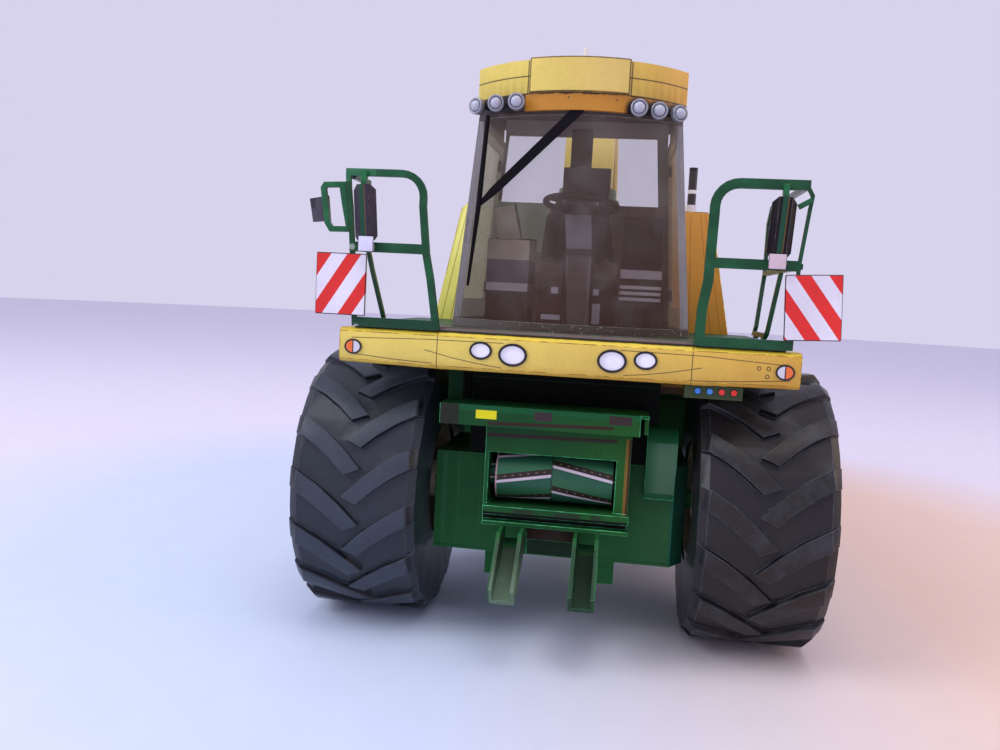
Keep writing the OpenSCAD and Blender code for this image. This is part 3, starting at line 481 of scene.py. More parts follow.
def tinted(colour, factor):
    """A colour made paler or darker by a factor."""
    return tuple(min(255.0, c * factor) for c in colour)


DARK_LINE = (72, 58, 34)
OUTLINE = (26, 23, 28)
BROWN = (66, 50, 44)
NEAR_BLACK = (36, 34, 32)
# Grain of the smooth card inside the cab.
SMOOTH = 0.008


def loop(x0, x1, y0, y1):
    """The corners of a rectangle, and the first one again."""
    return [(x0, y0), (x1, y0), (x1, y1), (x0, y1), (x0, y0)]


# Wheels


# A nut and the stud's end in it, as (out of the rim, radius), and their ring as a share of the rim's radius.
NUT = ((-0.05, 1.0), (0.55, 1.0), (0.7, 0.82))
STUD = ((0.65, 0.5), (1.2, 0.45), (1.35, 0.2))
NUT_RING = 0.46


def tyre_card(name, axle, size):
    """Slate grey card, browner to the machine's left as painted warm light, with painted shade on the lugs'
    flanks and printed rings on its sides.
    """
    cool = ink("tyre")
    card = Card(name, cool)
    # Painted warm light: the tyre turns browner towards the machine's left.
    browner = card.ramp(card.x, -20, 30)
    card.lay(browner, (37, 33, 30))
    middle = (0.0, *axle)
    r, rim = size["r"], size["rim"]
    worn = card.ramp(card.noise(card.place, 0.16, 5.0, 0.7), 0.45, 0.75)
    card.lay(worn, tinted(cool, 1.3), 0.4)
    # Painted shade: near black on the lugs' flanks, between their tops and the ground.
    shaded_lug_flanks = card.disc("x", middle, r - 0.45, 0.008)
    card.lay(shaded_lug_flanks, (14, 15, 20), 0.9)
    ground = card.disc("x", middle, r - LUG_H + 0.12, 0.004)
    card.lay(ground, tinted(cool, 0.86), 0.8)
    # The same painted warm light, darker on the ground between the lugs.
    card.lay(card.within(ground, browner), (33, 29, 26), 0.8)
    for ring, width in ((r - 4.5, 0.4), (r - 9.0, 0.3), (rim + 2.2, 0.5)):
        card.lay(card.ring("x", middle, ring, width, 0.008), tinted(cool, 0.5))
    card.lay(card.disc("x", middle, rim + 0.7, 0.01), (30, 30, 32))
    return card.done(rough=0.34, spread=0.16)


def rim_card(name, axle, size):
    """Cream card with three printed rings and dusty patches."""
    card = Card(name, (226, 218, 190))
    rim = size["rim"]
    rings = (
        (rim - 0.9, 0.7, (150, 142, 118)),
        (rim * 0.62, 0.35, (170, 160, 132)),
        (rim * 0.3, 0.35, (120, 112, 94)),
    )
    for ring, width, colour in rings:
        card.lay(card.ring("x", (0.0, *axle), ring, width, 0.02), colour)
    dusty = card.ramp(card.noise(card.place, 0.25, 4.0), 0.5, 0.75)
    card.lay(dusty, (176, 164, 134), 0.5)
    return card.done(rough=0.5)


class HARVESTER_OT_wheels(Operator):
    """Dress the tyres and rims, and add the wheel nuts"""

    bl_idname = "harvester.wheels"
    bl_label = "Wheels"

    def execute(self, context):
        edge = edge_ink("Tyre edge", tinted(ink("tyre"), 0.95), (88, 94, 104), 0.3)
        rim_edge = edge_ink("Rim edge", (176, 168, 140), (236, 230, 210))
        steel = Card("Nut grey", (120, 122, 118)).done(rough=0.35, depth=0.02, metal=0.4)
        for where, axle, size in (("front", FRONT_AXLE, FRONT_TYRE), ("rear", REAR_AXLE, REAR_TYRE)):
            tyre = tyre_card(f"Tyre card {where}", axle, size)
            rim = rim_card(f"Rim card {where}", axle, size)
            for side, sign in (("left", 1), ("right", -1)):
                dress(f"tyre_{where}_{side}", tyre, edge, 0.45, 3, 24)
                dress(f"rim_{where}_{side}", rim, rim_edge, 0.2)
                forms = Forms()
                face = sign * (size["half"] - size["dish"])
                reach = size["rim"] * NUT_RING
                for k in range(size["nuts"]):
                    t = 2 * math.pi * k / size["nuts"]
                    spot = (face, axle[0] + reach * math.cos(t), axle[1] + reach * math.sin(t))
                    forms.turned(NUT, spot, (sign, 0, 0), 6)
                    forms.turned(STUD, spot, (sign, 0, 0), 10)
                forms.make(f"nuts_{where}_{side}", steel, f"wheel_{where}_{side}", "rim_card")
        return {"FINISHED"}


# Frame, axles and intake


def green_card(name, plane="xz", lines=(), tone=1.0):
    """Green card; lines are (width, point, point) in one plane, printed in a darker green."""
    card = Card(name, tinted(ink("green"), tone))
    card.lay(card.ramp(card.noise(card.place, 0.05, 2.0), 0.4, 0.65), tinted(ink("green"), tone * 1.22), 0.6)
    for width, *points in lines:
        card.lay(card.line(plane, points, width), tinted(ink("green"), 0.45))
    return card


class HARVESTER_OT_frame(Operator):
    """Dress the main frame, the axles, the hitch and the boxes between the wheels"""

    bl_idname = "harvester.frame"
    bl_label = "Frame and axles"

    def execute(self, context):
        bright = edge_ink("Bright green edge", (34, 120, 72), (74, 178, 120))
        dull = edge_ink("Dull green edge", (24, 70, 46), (52, 120, 80))
        chassis = green_card("Frame card", "yz", [
            (0.3, (70, 44.5), (222, 44.5)), (0.25, (70, 34), (222, 34)),
            (0.25, (112, 30), (112, 46)), (0.25, (140, 30), (140, 46))])
        dress("chassis", chassis.done(), dull)
        front = green_card("Axle box card", tone=1.05)
        front.lay(front.ramp(front.x, 17, 27), (62, 118, 70), 0.75)
        for x, width in ((-30.2, 1.1), (-26.5, 0.4), (24.5, 0.35), (-20.6, 0.35)):
            front.patch((52, 108, 70), 0.6, x=(x - width / 2, x + width / 2), y=(19, 24))
        front.patch((36, 106, 88), 0.8, x=(28.6, 33), y=(19, 26))
        front.lay(front.line("xz", [(-32, 21), (29, 21)], 0.35), (30, 84, 48))
        dress("front_axle", front.done(shine=0.15), bright)
        rear = green_card("Rear axle card", "xz", [
            (0.25, (-30, 24.6), (30, 24.6)), (0.25, (-30, 31.4), (30, 31.4))])
        dress("rear_axle", rear.done(), dull)
        # Painted shade: the housing is near-black green, the shadow under the beam, and its edge ink is
        # darkened for the same shade.
        dark = green_card("Housing card", "xz", [
            (0.3, (-24, 58), (24, 58)), (0.3, (-24, 66), (24, 66))], tone=0.07)
        dark.patch((16, 56, 34), x=(-31, -26.2), z=(60, 78))
        shaded_edge = edge_ink("Dark green edge", (9, 26, 17), (24, 60, 38))
        dress("chopper_housing", dark.done(shine=0.08), shaded_edge)
        boxes = green_card("Box card", "yz", [
            (0.35, (78, 57.5), (118, 57.5)), (0.3, (98, 40), (98, 60)),
            (0.3, (80, 43), (116, 43)), (0.4, (122, 56), (128, 56))])
        for lid in ((84, 92), (104, 112)):
            boxes.lay(boxes.line("yz", loop(*lid, 50, 54), 0.35), BROWN)
        made = boxes.done()
        dress("side_tank", made, bright)
        dress("step_box", made, bright)
        hitch = green_card("Hitch card", "xz", [(0.3, (-12, 52), (12, 52))])
        dress("tow_hitch", hitch.done(), bright)
        return {"FINISHED"}


def intake_card():
    """Panel round the feed opening: bands, rings, the bar over it, the lip under it and the guard."""
    card = green_card("Intake card", tone=0.86)
    front = (5, 10.4)
    bar = (5.5, 7.5)
    labels = (
        ((-20.5, -15.4), 57.1, (228, 222, 40)),
        ((-6.2, -1.9), 57.5, (64, 52, 56)),
        ((11.8, 17.1), 57.8, (62, 50, 50)),
    )
    card.lay(card.ramp(card.x, -4, 16), (38, 92, 36), 0.7)
    card.patch((26, 96, 58), 0.7, y=bar, z=(58.9, 61))
    card.patch((44, 42, 38), 0.9, x=(-30, -24.7), y=bar)
    for span, low, colour in labels:
        card.patch(colour, x=span, y=bar, z=(low, low + 2.1))
    card.draw(card.box(y=bar), "xz", [(-17, 56.1), (12.6, 56.95)], 0.85, (56, 42, 36))
    card.draw(card.box(y=front), "xz", [(-17.7, 52.7), (13.5, 53.25)], 1.0, (52, 46, 40))
    for x in (-13.6, -2.1, 9.6):
        card.lay(card.within(card.ring("y", (x, 0, 50.1), 0.85, 0.25), card.box(y=front)), (26, 70, 36))
    card.patch((122, 96, 42), x=(16.2, 16.9), y=(8, 20), z=(33.6, 54))
    card.patch((72, 36, 26), 0.9, x=(16.9, 17.7), y=(8, 20), z=(33.6, 54))
    # Painted shade: near black in the slot under the lip.
    card.patch((8, 8, 7), y=(7.4, 10.5), z=(31.65, 33.9))
    for span in ((-10.2, -5.2), (-0.1, 6.1), (8.7, 11.2)):
        card.patch((40, 52, 40), 0.85, x=span, y=(7.4, 7.8), z=(33.9, 35))
    card.patch((56, 40, 34), 0.95, y=(10.5, 19), z=(26.9, 30.5))
    card.patch((26, 40, 32), 0.8, y=(13.5, 20.5), z=(21, 27))
    card.patch((30, 92, 56), 0.8, x=(21, 29), y=(12, 20.5), z=(38, 58.5))
    guard_face = card.box(x=(21, 29), y=(12, 17), z=(40, 53))
    card.lay(card.within(guard_face, card.ramp(card.x, 21.3, 24.6)), (118, 150, 128), 0.4)
    return card


def roller_card():
    """Drum with slanted bars, each a dotted brown band over a white line, that meet near the middle."""
    card = Card("Roller card", (50, 106, 70))
    away = card.vector("SUBTRACT", card.place, (0.0, ROLLER["y"], ROLLER["z"]))
    x, y, z = card.parts(away)
    angle = card.math("ARCTAN2", z, card.math("MULTIPLY", y, -1.0))
    left = card.math("LESS_THAN", x, ROLLER["meet"])
    slant_left = card.math("MULTIPLY_ADD", x, 0.029, 0.22)
    slant_right = card.math("MULTIPLY_ADD", x, -0.0305, 0.52)
    slant = card.math("ADD", card.within(left, slant_left), card.within(card.outside(left), slant_right))
    bars = ROLLER["bars"] / (2 * math.pi)
    turn = card.math("FRACT", card.math("MULTIPLY_ADD", card.math("SUBTRACT", angle, slant), bars, 0.02))
    card.lay(card.ramp(turn, 0.22, 0.95), (30, 80, 64), 0.85)
    card.lay(card.math("LESS_THAN", turn, 0.33), (44, 34, 30))
    row_of_dots = card.within(card.math("GREATER_THAN", turn, 0.2), card.math("LESS_THAN", turn, 0.25))
    dots = card.math("GREATER_THAN", card.math("SINE", card.math("MULTIPLY", x, 3.2)), 0.7)
    card.lay(card.within(row_of_dots, dots), (112, 100, 88))
    card.lay(card.math("LESS_THAN", turn, 0.11), (200, 188, 198))
    card.patch((30, 50, 36), 0.7, x=(-1.8, -1.3))
    card.patch((188, 150, 150), 0.8, x=(-15.8, -15.3))
    return card.done(rough=0.45)


class HARVESTER_OT_intake(Operator):
    """Dress the feed frame, its roller, the coupling hooks and the coupler bar"""

    bl_idname = "harvester.intake"
    bl_label = "Intake"

    def execute(self, context):
        bright = edge_ink("Hook edge", (38, 132, 82), (84, 196, 132))
        dress("feed_frame", intake_card().done(shine=0.12), bright, 0.14)
        dress("feed_roller", roller_card(), edge_ink("Roller edge", (40, 40, 34), (150, 146, 150)), 0.1)
        hooks = green_card("Hook card", tone=0.98)
        channels = hooks.box(x=(-13, -7), y=(-12, 8), z=(12, 29))
        hooks.lay(channels, (112, 130, 110), 0.75)
        hooks.lay(hooks.within(channels, hooks.ramp(hooks.z, 20, 26)), (40, 60, 42), 0.85)
        hooks.patch((36, 58, 44), 0.9, x=(5.2, 10.8), y=(-12, 8), z=(12, 29))
        dress("coupling_hooks", hooks.done(shine=0.2), bright, 0.18)
        coupler = Card("Coupler card", (52, 66, 36))
        plate = coupler.box(y=(0, 1.6), x=(28, 42))
        for k, colour in enumerate(((60, 120, 210), (70, 130, 215), (220, 56, 50), (222, 52, 48))):
            spot = (31.3 + 2.7 * k, 1.2, BEAM_Z - 1.25)
            for r, tone in ((0.85, (22, 60, 36)), (0.65, colour)):
                coupler.lay(coupler.within(coupler.disc("y", spot, r), plate), tone)
        coupler.patch((40, 40, 42), x=(53, 57))
        dress("coupler_block", coupler.done(), None)
        return {"FINISHED"}


# Front beam and platform


# Lines printed on the beam's front as (width, points of x and z): sweeps above and below, then the seams.
BEAM_LINES = (
    (0.2, (-50.4, 75.35), (-32, 75.9), (-13.9, 76.0)),
    (0.2, (-50.2, 71.5), (-40, 70.7), (-30.8, 70.3)),
    (0.2, (-32.6, 73.4), (-26, 71.9), (-20, 70.9), (-14.1, 70.2)),
    (0.2, (13.4, 76.0), (32, 75.8), (49.6, 74.8)),
    (0.2, (31.8, 73.1), (25, 71.7), (19.5, 70.8), (14.3, 70.3)),
    (0.2, (28.9, 70.0), (40, 70.5), (51.2, 71.4)),
    (0.22, (-29.6, 69), (-29.6, 78)),
    (0.22, (29.6, 69), (29.6, 78)),
)
BEAM_RINGS = ((44.3, 73.8), (46.4, 73.8), (46.2, 72.0))
# Lamps printed on each half, as (x, height over the beam's foot, half width, half height, outline).
HEADLAMPS = ((11.5, 4.4, 3.4, 2.7, 0.62), (19.1, 5.0, 2.7, 2.15, 0.55))
END_LAMP = (50.0, 4.2, 2.1, 1.8, 0.42)


def beam_card():
    """Yellow beam, oranger towards the machine's left as painted warm light: printed seams, sweeping lines,
    rings, a brighter fold and a darker foot.
    """
    card = Card("Beam card", ink("yellow"))
    # Painted warm light: oranger towards the machine's left.
    card.lay(card.ramp(card.x, -20, 56), (200, 142, 46), 0.75)
    front = card.box(y=(-0.5, 1.1))
    card.lay(card.ramp(card.z, BEAM_Z + 2.4, BEAM_Z), (196, 140, 40), 0.55)
    card.patch((222, 198, 52), 0.8, z=(DECK_Z - 0.8, DECK_Z + 1))
    ends = card.math("GREATER_THAN", card.math("ABSOLUTE", card.x), 53.3)
    card.lay(ends, (236, 186, 40), 0.8)
    for width, *points in BEAM_LINES:
        card.draw(front, "xz", points, width, DARK_LINE, 0.9)
    for x, z in BEAM_RINGS:
        card.lay(card.within(card.ring("y", (x, 0, z), 0.5, 0.2, 0.15), front), DARK_LINE)
    return card.done(rough=0.42, coat=0.15)


def lamp_print_card():
    """Lamp plates: lilac white with a soft heart and a thick dark outline; the end ones half orange."""
    card = Card("Lamp card", (206, 204, 216))
    for sign in (-1, 1):
        for lamp in (*HEADLAMPS, END_LAMP):
            x, up, rx, rz, rim = lamp
            x *= sign
            near = card.box(x=(x - rx - 0.2, x + rx + 0.2))
            if lamp == END_LAMP:
                card.patch((232, 112, 52), x=sorted((x + sign * 0.05, x + sign * 4)))
                card.patch(OUTLINE, x=(x - 0.14, x + 0.14))
            else:
                heart = card.oval((x + 0.4, 0, BEAM_Z + up - 0.2), (rx * 0.62, None, rz * 0.62), 0.7)
                card.lay(card.within(near, heart), (238, 236, 246))
            inside = card.oval((x, 0, BEAM_Z + up), (rx - rim, None, rz - rim), 0.08)
            card.lay(card.within(near, card.outside(inside)), OUTLINE)
    return card.done(rough=0.3, coat=0.3, depth=0.01, blotch=0.05)


class HARVESTER_OT_beam(Operator):
    """Dress the front beam, its lamp plates and the platform"""

    bl_idname = "harvester.beam"
    bl_label = "Front beam"

    def execute(self, context):
        inked = edge_ink("Yellow card edge", (150, 112, 30), (232, 196, 60))
        dress("fascia", beam_card(), inked, 0.14)
        dress("fascia_lamps", lamp_print_card(), None)
        deck = green_card("Deck card", "xy", [
            (0.2, (-52, 30), (52, 30)), (0.2, (-52, 48), (52, 48)),
            (0.2, (-40, 2), (-40, 64)), (0.2, (40, 2), (40, 64))], tone=0.8)
        tread = deck.math("MULTIPLY", *deck.crossed(deck.x, deck.y, 3.0))
        deck.lay(deck.within(deck.ramp(tread, 0.3, 0.6), deck.box(z=(78.8, 80))), (58, 100, 74), 0.35)
        step = deck.box(x=(-30.7, 30.7), y=(1, 1.5))
        deck.lay(deck.within(step, deck.box(z=(78.2, 79.3))), (112, 100, 92))
        # Painted shadow: a dark line under the brown strip of the deck's front edge.
        deck.lay(deck.within(step, deck.box(z=(77.4, 78.2))), (45, 36, 30))
        deck.patch((86, 76, 70), x=(-30.7, 30.7), y=(1.4, 8), z=(78.8, 80))
        dress("platform", deck.done(), edge_ink("Deck edge", (60, 50, 34), (40, 96, 62)))
        return {"FINISHED"}


# Cab


def film_card(name, tint, haze, shade=None):
    """Clear film, slightly grey and dusty; shade is a colour that it takes on towards its foot."""
    card = Card(name, tint)
    if shade:
        card.lay(card.ramp(card.z, 118, 84), shade, 0.85)
    dust = card.ramp(card.noise(card.place, 0.12, 5.0, 0.7), 0.45, 0.75)
    card.lay(dust, (204, 202, 198), 0.3)
    return card.done(rough=0.22, spread=0.12, depth=0.006, blotch=0.05, alpha=haze)


def side_film_card():
    """Film of the sides: it shows beige on one side, and on the other a painted reflection of warm wood,
    brown to orange brown; it glows a little as painted daylight.
    """
    card = Card("Side film", (166, 164, 150))
    # Painted reflection of warm wood on the machine's left, more orange towards the foot.
    warm = card.box(x=(10, 40))
    card.lay(warm, (158, 132, 104))
    card.lay(card.within(warm, card.ramp(card.z, 112, 84)), (148, 100, 62))
    dust = card.ramp(card.noise(card.place, 0.12, 5.0, 0.7), 0.45, 0.75)
    card.lay(dust, (204, 202, 196), 0.25)
    return card.done(rough=0.3, spread=0.12, depth=0.006, blotch=0.05, alpha=0.8, painted_glow=0.4)


def cab_card():
    """Grey card of the posts and the floor, paler at the screen's corners as painted daylight, with prints on
    the back wall; it glows a little as painted light.
    """
    card = Card("Cab card", (92, 90, 88))
    # Painted light: the screen's corners are paler, as daylight through the film.
    corners = card.within(card.outside(card.box(x=(-23.4, 23.4))), card.box(y=(10, 21)))
    card.lay(corners, (150, 150, 158), 0.85)
    foot = card.box(y=(3, 20), z=(78.9, 81.2))
    card.lay(foot, (62, 52, 44))
    card.lay(card.within(foot, card.ramp(card.x, -8, -28)), (120, 114, 112), 0.6)
    specks = card.ramp(card.noise(card.place, 1.6, 4.0, 0.7), 0.62, 0.7)
    card.lay(card.within(foot, specks), (190, 184, 182), 0.8)
    card.lay(card.within(card.box(y=(3, 17), z=(129.4, 131))), (60, 52, 50))
    back = card.box(y=(48.2, 49.7))
    card.lay(card.within(back, card.box(z=(133, 138))), (112, 106, 110))
    card.lay(card.within(back, card.box(z=(79, 114.4))), (84, 72, 66))
    card.lay(card.within(back, card.box(x=(-25, -9), z=(100, 114.4))), (134, 148, 134), 0.9)
    card.lay(card.within(card.box(y=(49.6, 51)), card.box(z=(79, 133))), (52, 60, 54), 0.8)
    return card.done(rough=0.45, painted_glow=0.2)


def door_card():
    """Door frames with a printed handle and hinges, greyer on one side and browner on the other as painted
    warm light; they glow a little as painted daylight.
    """
    card = Card("Door card", (132, 130, 122))
    # Painted warm light: browner towards the machine's left.
    card.patch((134, 112, 88), 0.8, x=(10, 40))
    card.patch((30, 36, 42), y=(17, 20), z=(100, 106))
    for z in (88, 122):
        card.patch((60, 62, 60), y=(45, 48), z=(z, z + 3))
    return card.done(rough=0.45, painted_glow=0.32)


class HARVESTER_OT_cab(Operator):
    """Dress the cab's posts, doors and film, and the wiper"""

    bl_idname = "harvester.cab"
    bl_label = "Cab"

    def execute(self, context):
        look = context.scene.harvester_surface
        edge = edge_ink("Cab edge", (84, 80, 76), (146, 144, 140))
        dress("cab_frame", cab_card(), edge, 0.12)
        dress("cab_doors", door_card(), edge, 0.12)
        film_edge = edge_ink("Film edge", (150, 150, 146), (216, 214, 208), 0.25)
        screen = film_card("Screen film", (120, 104, 94), look.film, (104, 74, 58))
        dress("windscreen", screen, film_edge, 0.1)
        dress("side_glass", side_film_card(), None)
        dress("rear_glass", film_card("Rear film", (170, 168, 172), look.film * 0.4), None)
        black = Card("Wiper black", (22, 19, 24))
        black.lay(black.ramp(black.noise(black.place, 0.8, 4.0), 0.6, 0.8), (30, 27, 33), 0.4)
        dress("wiper", black.done(rough=0.7, depth=0.03, shine=0.05), None)
        return {"FINISHED"}


# Bands of the box on the machine's right, from the top down, and the pale prints round the pedals as
# (x from, x to, z from, z to).
CONSOLE_BANDS = (
    ((96.4, 102.5), (164, 154, 132)),
    ((90.5, 96.4), (88, 76, 92)),
    ((88.4, 90.5), (176, 168, 172)),
    ((79, 88.4), (54, 44, 40)),
)
PEDAL_PRINTS = ((-7.7, -2.7, 81.6, 82.9), (5.4, 7.4, 81, 86.2), (5.4, 6.9, 88.4, 90), (-5.4, -3.6, 88.4, 90))


def console_card():
    """Boxes beside the driver, with their printed bands from light to dark."""
    card = Card("Console card", (54, 38, 34))
    left = card.box(x=(-23, -10.5))
    for span, colour in CONSOLE_BANDS:
        card.lay(card.within(left, card.box(z=span)), colour)
    monitor = card.box(x=(-23, -13.6), y=(30, 32.4), z=(101.6, 114))
    card.lay(monitor, (176, 172, 152))
    card.draw(monitor, "xz", [(-16.7, 111.6), (-14.3, 102.6)], 1.1, (52, 48, 52))
    right = card.box(x=(11.6, 23.4), y=(23, 37.9))
    card.lay(card.within(right, card.box(z=(93.1, 95.6))), (164, 152, 156))
    for z in (87.9, 89.4, 90.9):
        card.lay(card.within(right, card.box(z=(z - 0.42, z + 0.42))), (176, 166, 170))
    tall = card.box(x=(11.6, 23.4), y=(37.9, 47))
    card.lay(card.within(tall, card.box(z=(95.5, 110))), (60, 48, 58))
    card.lay(card.within(tall, card.box(z=(110, 113))), (100, 76, 76))
    card.patch((104, 84, 82), 0.55, x=(-9.2, 11.6), y=(23, 31.5), z=(92.5, 97.5))
    for x0, x1, z0, z1 in PEDAL_PRINTS:
        card.patch((198, 190, 202), x=(x0, x1), y=(22, 25), z=(z0, z1))
    return card.done(rough=0.55, depth=SMOOTH, shine=0.15)


def seat_card():
    """Dark seat with printed bolsters and seams, and a paler back and headrest."""
    card = Card("Driver seat card", (58, 54, 60))
    for x in (-6.5, 8.9):
        card.patch((44, 42, 46), 0.9, x=(x - 1.3, x + 1.3), y=(32, 47), z=(92, 124))
    for x0, x1, z, tone in ((-6, 8.4, 101.5, 30), (-6, 8.4, 108, 30), (-5, 7.4, 119.5, 34)):
        card.lay(card.line("xz", [(x0, z), (x1, z)], 0.3), (tone, tone - 2, tone))
    card.patch((74, 70, 76), 0.6, x=(-5.5, 8), z=(115, 124))
    card.patch((52, 50, 54), x=(-4, 2.6), z=(123.4, 135))
    return card.done(rough=0.6, depth=SMOOTH, shine=0.15)


def column_card():
    """Steering column: a pale panel, two edge lines, and a dark wheel over it."""
    card = Card("Column card", (72, 62, 62))
    card.patch((126, 126, 134), 0.75, x=(-3.5, 5.5), y=(17, 27), z=(99.7, 112))
    card.patch((44, 38, 40), z=(98.2, 99.7))
    for x in (-1.4, 4.3):
        card.patch((96, 84, 84), x=(x - 0.25, x + 0.25), y=(17, 27), z=(79, 98))
    wheel = card.box(x=(-10, 12), y=(16, 36), z=(106, 118))
    far = card.oval((1, 26, 112.2), (7.6, 7.2, None), 0.02)
    card.lay(card.within(wheel, card.outside(far)), (30, 28, 34))
    card.patch((52, 50, 56), 0.7, x=(-3, 5), y=(22, 28), z=(108.6, 116))
    return card.done(rough=0.55, depth=SMOOTH, shine=0.15)


class HARVESTER_OT_inside(Operator):
    """Dress the seat, the steering column and the boxes beside the driver"""

    bl_idname = "harvester.inside"
    bl_label = "Inside the cab"

    def execute(self, context):
        edge = edge_ink("Inner edge", (50, 44, 44), (128, 118, 116))
        dress("seat", seat_card(), edge, 0.2)
        dress("steering_column", column_card(), None)
        dress("consoles", console_card(), edge, 0.12)
        return {"FINISHED"}


# Roof


HATCHES = ((-20, 20, 14, 47), (-9, 9, 18, 30), (-16, -4, 34, 44), (4, 16, 34, 44))
# A work lamp's grey ring and its glass, as (out of the lamp's front, radius), and how far that front is from
# the lamp's middle.
LAMP_RING = ((-1.3, 1.94), (-0.2, 1.98), (0.15, 1.9), (0.2, 1.55), (-0.1, 1.4), (-0.35, 1.3))
LAMP_DOME = ((-0.4, 1.35), (0.1, 1.3), (0.55, 1.08), (0.85, 0.72), (0.98, 0.35), (1.0, 0.05))
LAMP_REACH = 1.6


def roof_card():
    """Yellow roof, oranger towards the machine's left as painted warm light: a line round the band, a skirt
    painted as shade, orange in the middle and near black by the lamps, hatches above and a dark ceiling.
    """
    card = Card("Roof card", ink("yellow"))
    # Painted warm light: oranger towards the machine's left.
    card.lay(card.ramp(card.x, 4, 28), (206, 142, 46), 0.8)
    skirt = card.box(z=(129, ROOF_Z0 - 0.05))
    # Painted shade: the skirt is near black at both ends, where the lamps' recesses lie in shadow, and orange
    # in the middle, the yellow in shade.
    card.lay(skirt, (36, 33, 36))
    card.lay(card.within(skirt, card.box(x=(-12.5, 26), soft=0.6)), (196, 134, 44))
    # Painted shadow round each lamp on the machine's left.
    for x, _, z, _ in WORK_LAMPS:
        if x > 0:
            lamp_shadow = card.disc("y", (x, 0, z), 3.1, 0.35)
            card.lay(card.within(skirt, lamp_shadow, card.box(y=(0, 18))), (34, 30, 32))
    seam = card.math("MULTIPLY_ADD", card.noise(card.place, 0.5, 3.0), 1.3, ROOF_Z0 - 1.0)
    card.lay(card.math("MULTIPLY", skirt, card.math("GREATER_THAN", card.z, seam)), (66, 46, 30))
    band = card.box(z=(ROOF_Z0 - 0.3, ROOF_Z1 - 0.2))
    card.lay(card.within(band, card.box(z=(138.1, 138.38))), DARK_LINE, 0.95)
    for x in (-SIGN_HALF - 0.35, SIGN_HALF + 0.35):
        card.lay(card.within(band, card.box(x=(x - 0.12, x + 0.12), y=(2, 12))), DARK_LINE)
    lid = card.box(z=(ROOF_Z1 - 0.1, ROOF_Z1 + 0.3))
    for hatch in HATCHES:
        card.draw(lid, "xy", loop(*hatch), 0.28, DARK_LINE, 0.85)
    for k in range(6):
        card.draw(lid, "xy", [(5.5, 35.4 + 1.5 * k), (14.5, 35.4 + 1.5 * k)], 0.5, (60, 56, 44), 0.9)
    round_in = card.disc("z", (0, ROOF_ROUND[0], 0), ROOF_ROUND[1] - 1.7, 0.01)
    hollow = card.box(x=(-23.35, 23.35), y=(5, 51), z=(129, CEILING_Z + 0.2))
    card.lay(card.within(hollow, round_in), (98, 88, 90))
    for x, z in ((-15.8, 132.6), (-2.2, 133.2), (8.8, 133.0), (17.0, 133.4)):
        card.lay(card.within(card.disc("y", (x, 0, z), 0.25, 0.3), card.box(y=(2, 14))), (90, 70, 30), 0.8)
    return card.done(rough=0.42, coat=0.15)


class HARVESTER_OT_roof(Operator):
    """Dress the roof, its bare sign plate, the work lamps and the antenna"""

    bl_idname = "harvester.roof"
    bl_label = "Roof"

    def execute(self, context):
        inked = edge_ink("Roof edge", (70, 50, 26), (170, 124, 40))
        dress("roof", roof_card(), inked, 0.13, 1, 40)
        sign = Card("Sign card", ink("yellow"))
        # Painted warm light: duller and more orange towards the machine's left.
        sign.lay(sign.ramp(sign.x, -14, 6), (216, 186, 108), 0.75)
        outline = sign.outside(sign.box(x=(-SIGN_HALF + 0.3, SIGN_HALF - 0.3), z=(ROOF_Z0 + 0.3, ROOF_Z1)))
        sign.lay(outline, DARK_LINE, 0.85)
        dress("roof_sign", sign.done(rough=0.42, coat=0.15), inked, 0.1, 1, 40)
        black = Card("Lamp housing", (36, 34, 40))
        black.lay(black.ramp(black.noise(black.place, 0.9, 3.0), 0.5, 0.7), (84, 80, 88), 0.5)
        dress("work_lamps", black.done(rough=0.35, depth=0.02), None)
        ring = Card("Lamp ring", (150, 152, 164)).done(rough=0.3, depth=0.015, metal=0.4)
        glass = Card("Lamp dome", (176, 178, 192))
        made = glass.done(rough=0.16, depth=0.008, blotch=0.06, coat=0.6)
        rings, domes = Forms(), Forms()
        for x, y, z, turn in WORK_LAMPS:
            out = (math.sin(math.radians(turn)), -math.cos(math.radians(turn)), 0)
            spot = Vector((x, y, z)) + LAMP_REACH * Vector(out)
            rings.turned(LAMP_RING, spot, out, 32)
            domes.turned(LAMP_DOME, spot, out, 28)
        rings.make("work_lamp_rings", ring, slot="lamp_metal", smooth=True)
        domes.make("work_lamp_domes", made, slot="lamp_metal", smooth=True)
        pale = Card("Antenna white", (226, 224, 226))
        pale.patch((60, 58, 60), z=(ROOF_Z1, ROOF_Z1 + 1.1))
        dress("antenna", pale.done(rough=0.4, depth=0.02), None)
        return {"FINISHED"}


# Rails, mirrors and boards


def rail_card(name, tone):
    """Thick card painted dark green: uneven brush marks, worn pale spots and brown cut edges."""
    card = Card(name, tinted(ink("rail"), tone))
    card.lay(card.ramp(card.noise(card.place, 0.18, 4.0), 0.45, 0.7), tinted(ink("rail"), tone * 1.45), 0.5)
    worn = card.ramp(card.noise(card.place, 0.6, 5.0, 0.75), 0.68, 0.76)
    card.lay(worn, (112, 148, 128), 0.4)
    return card


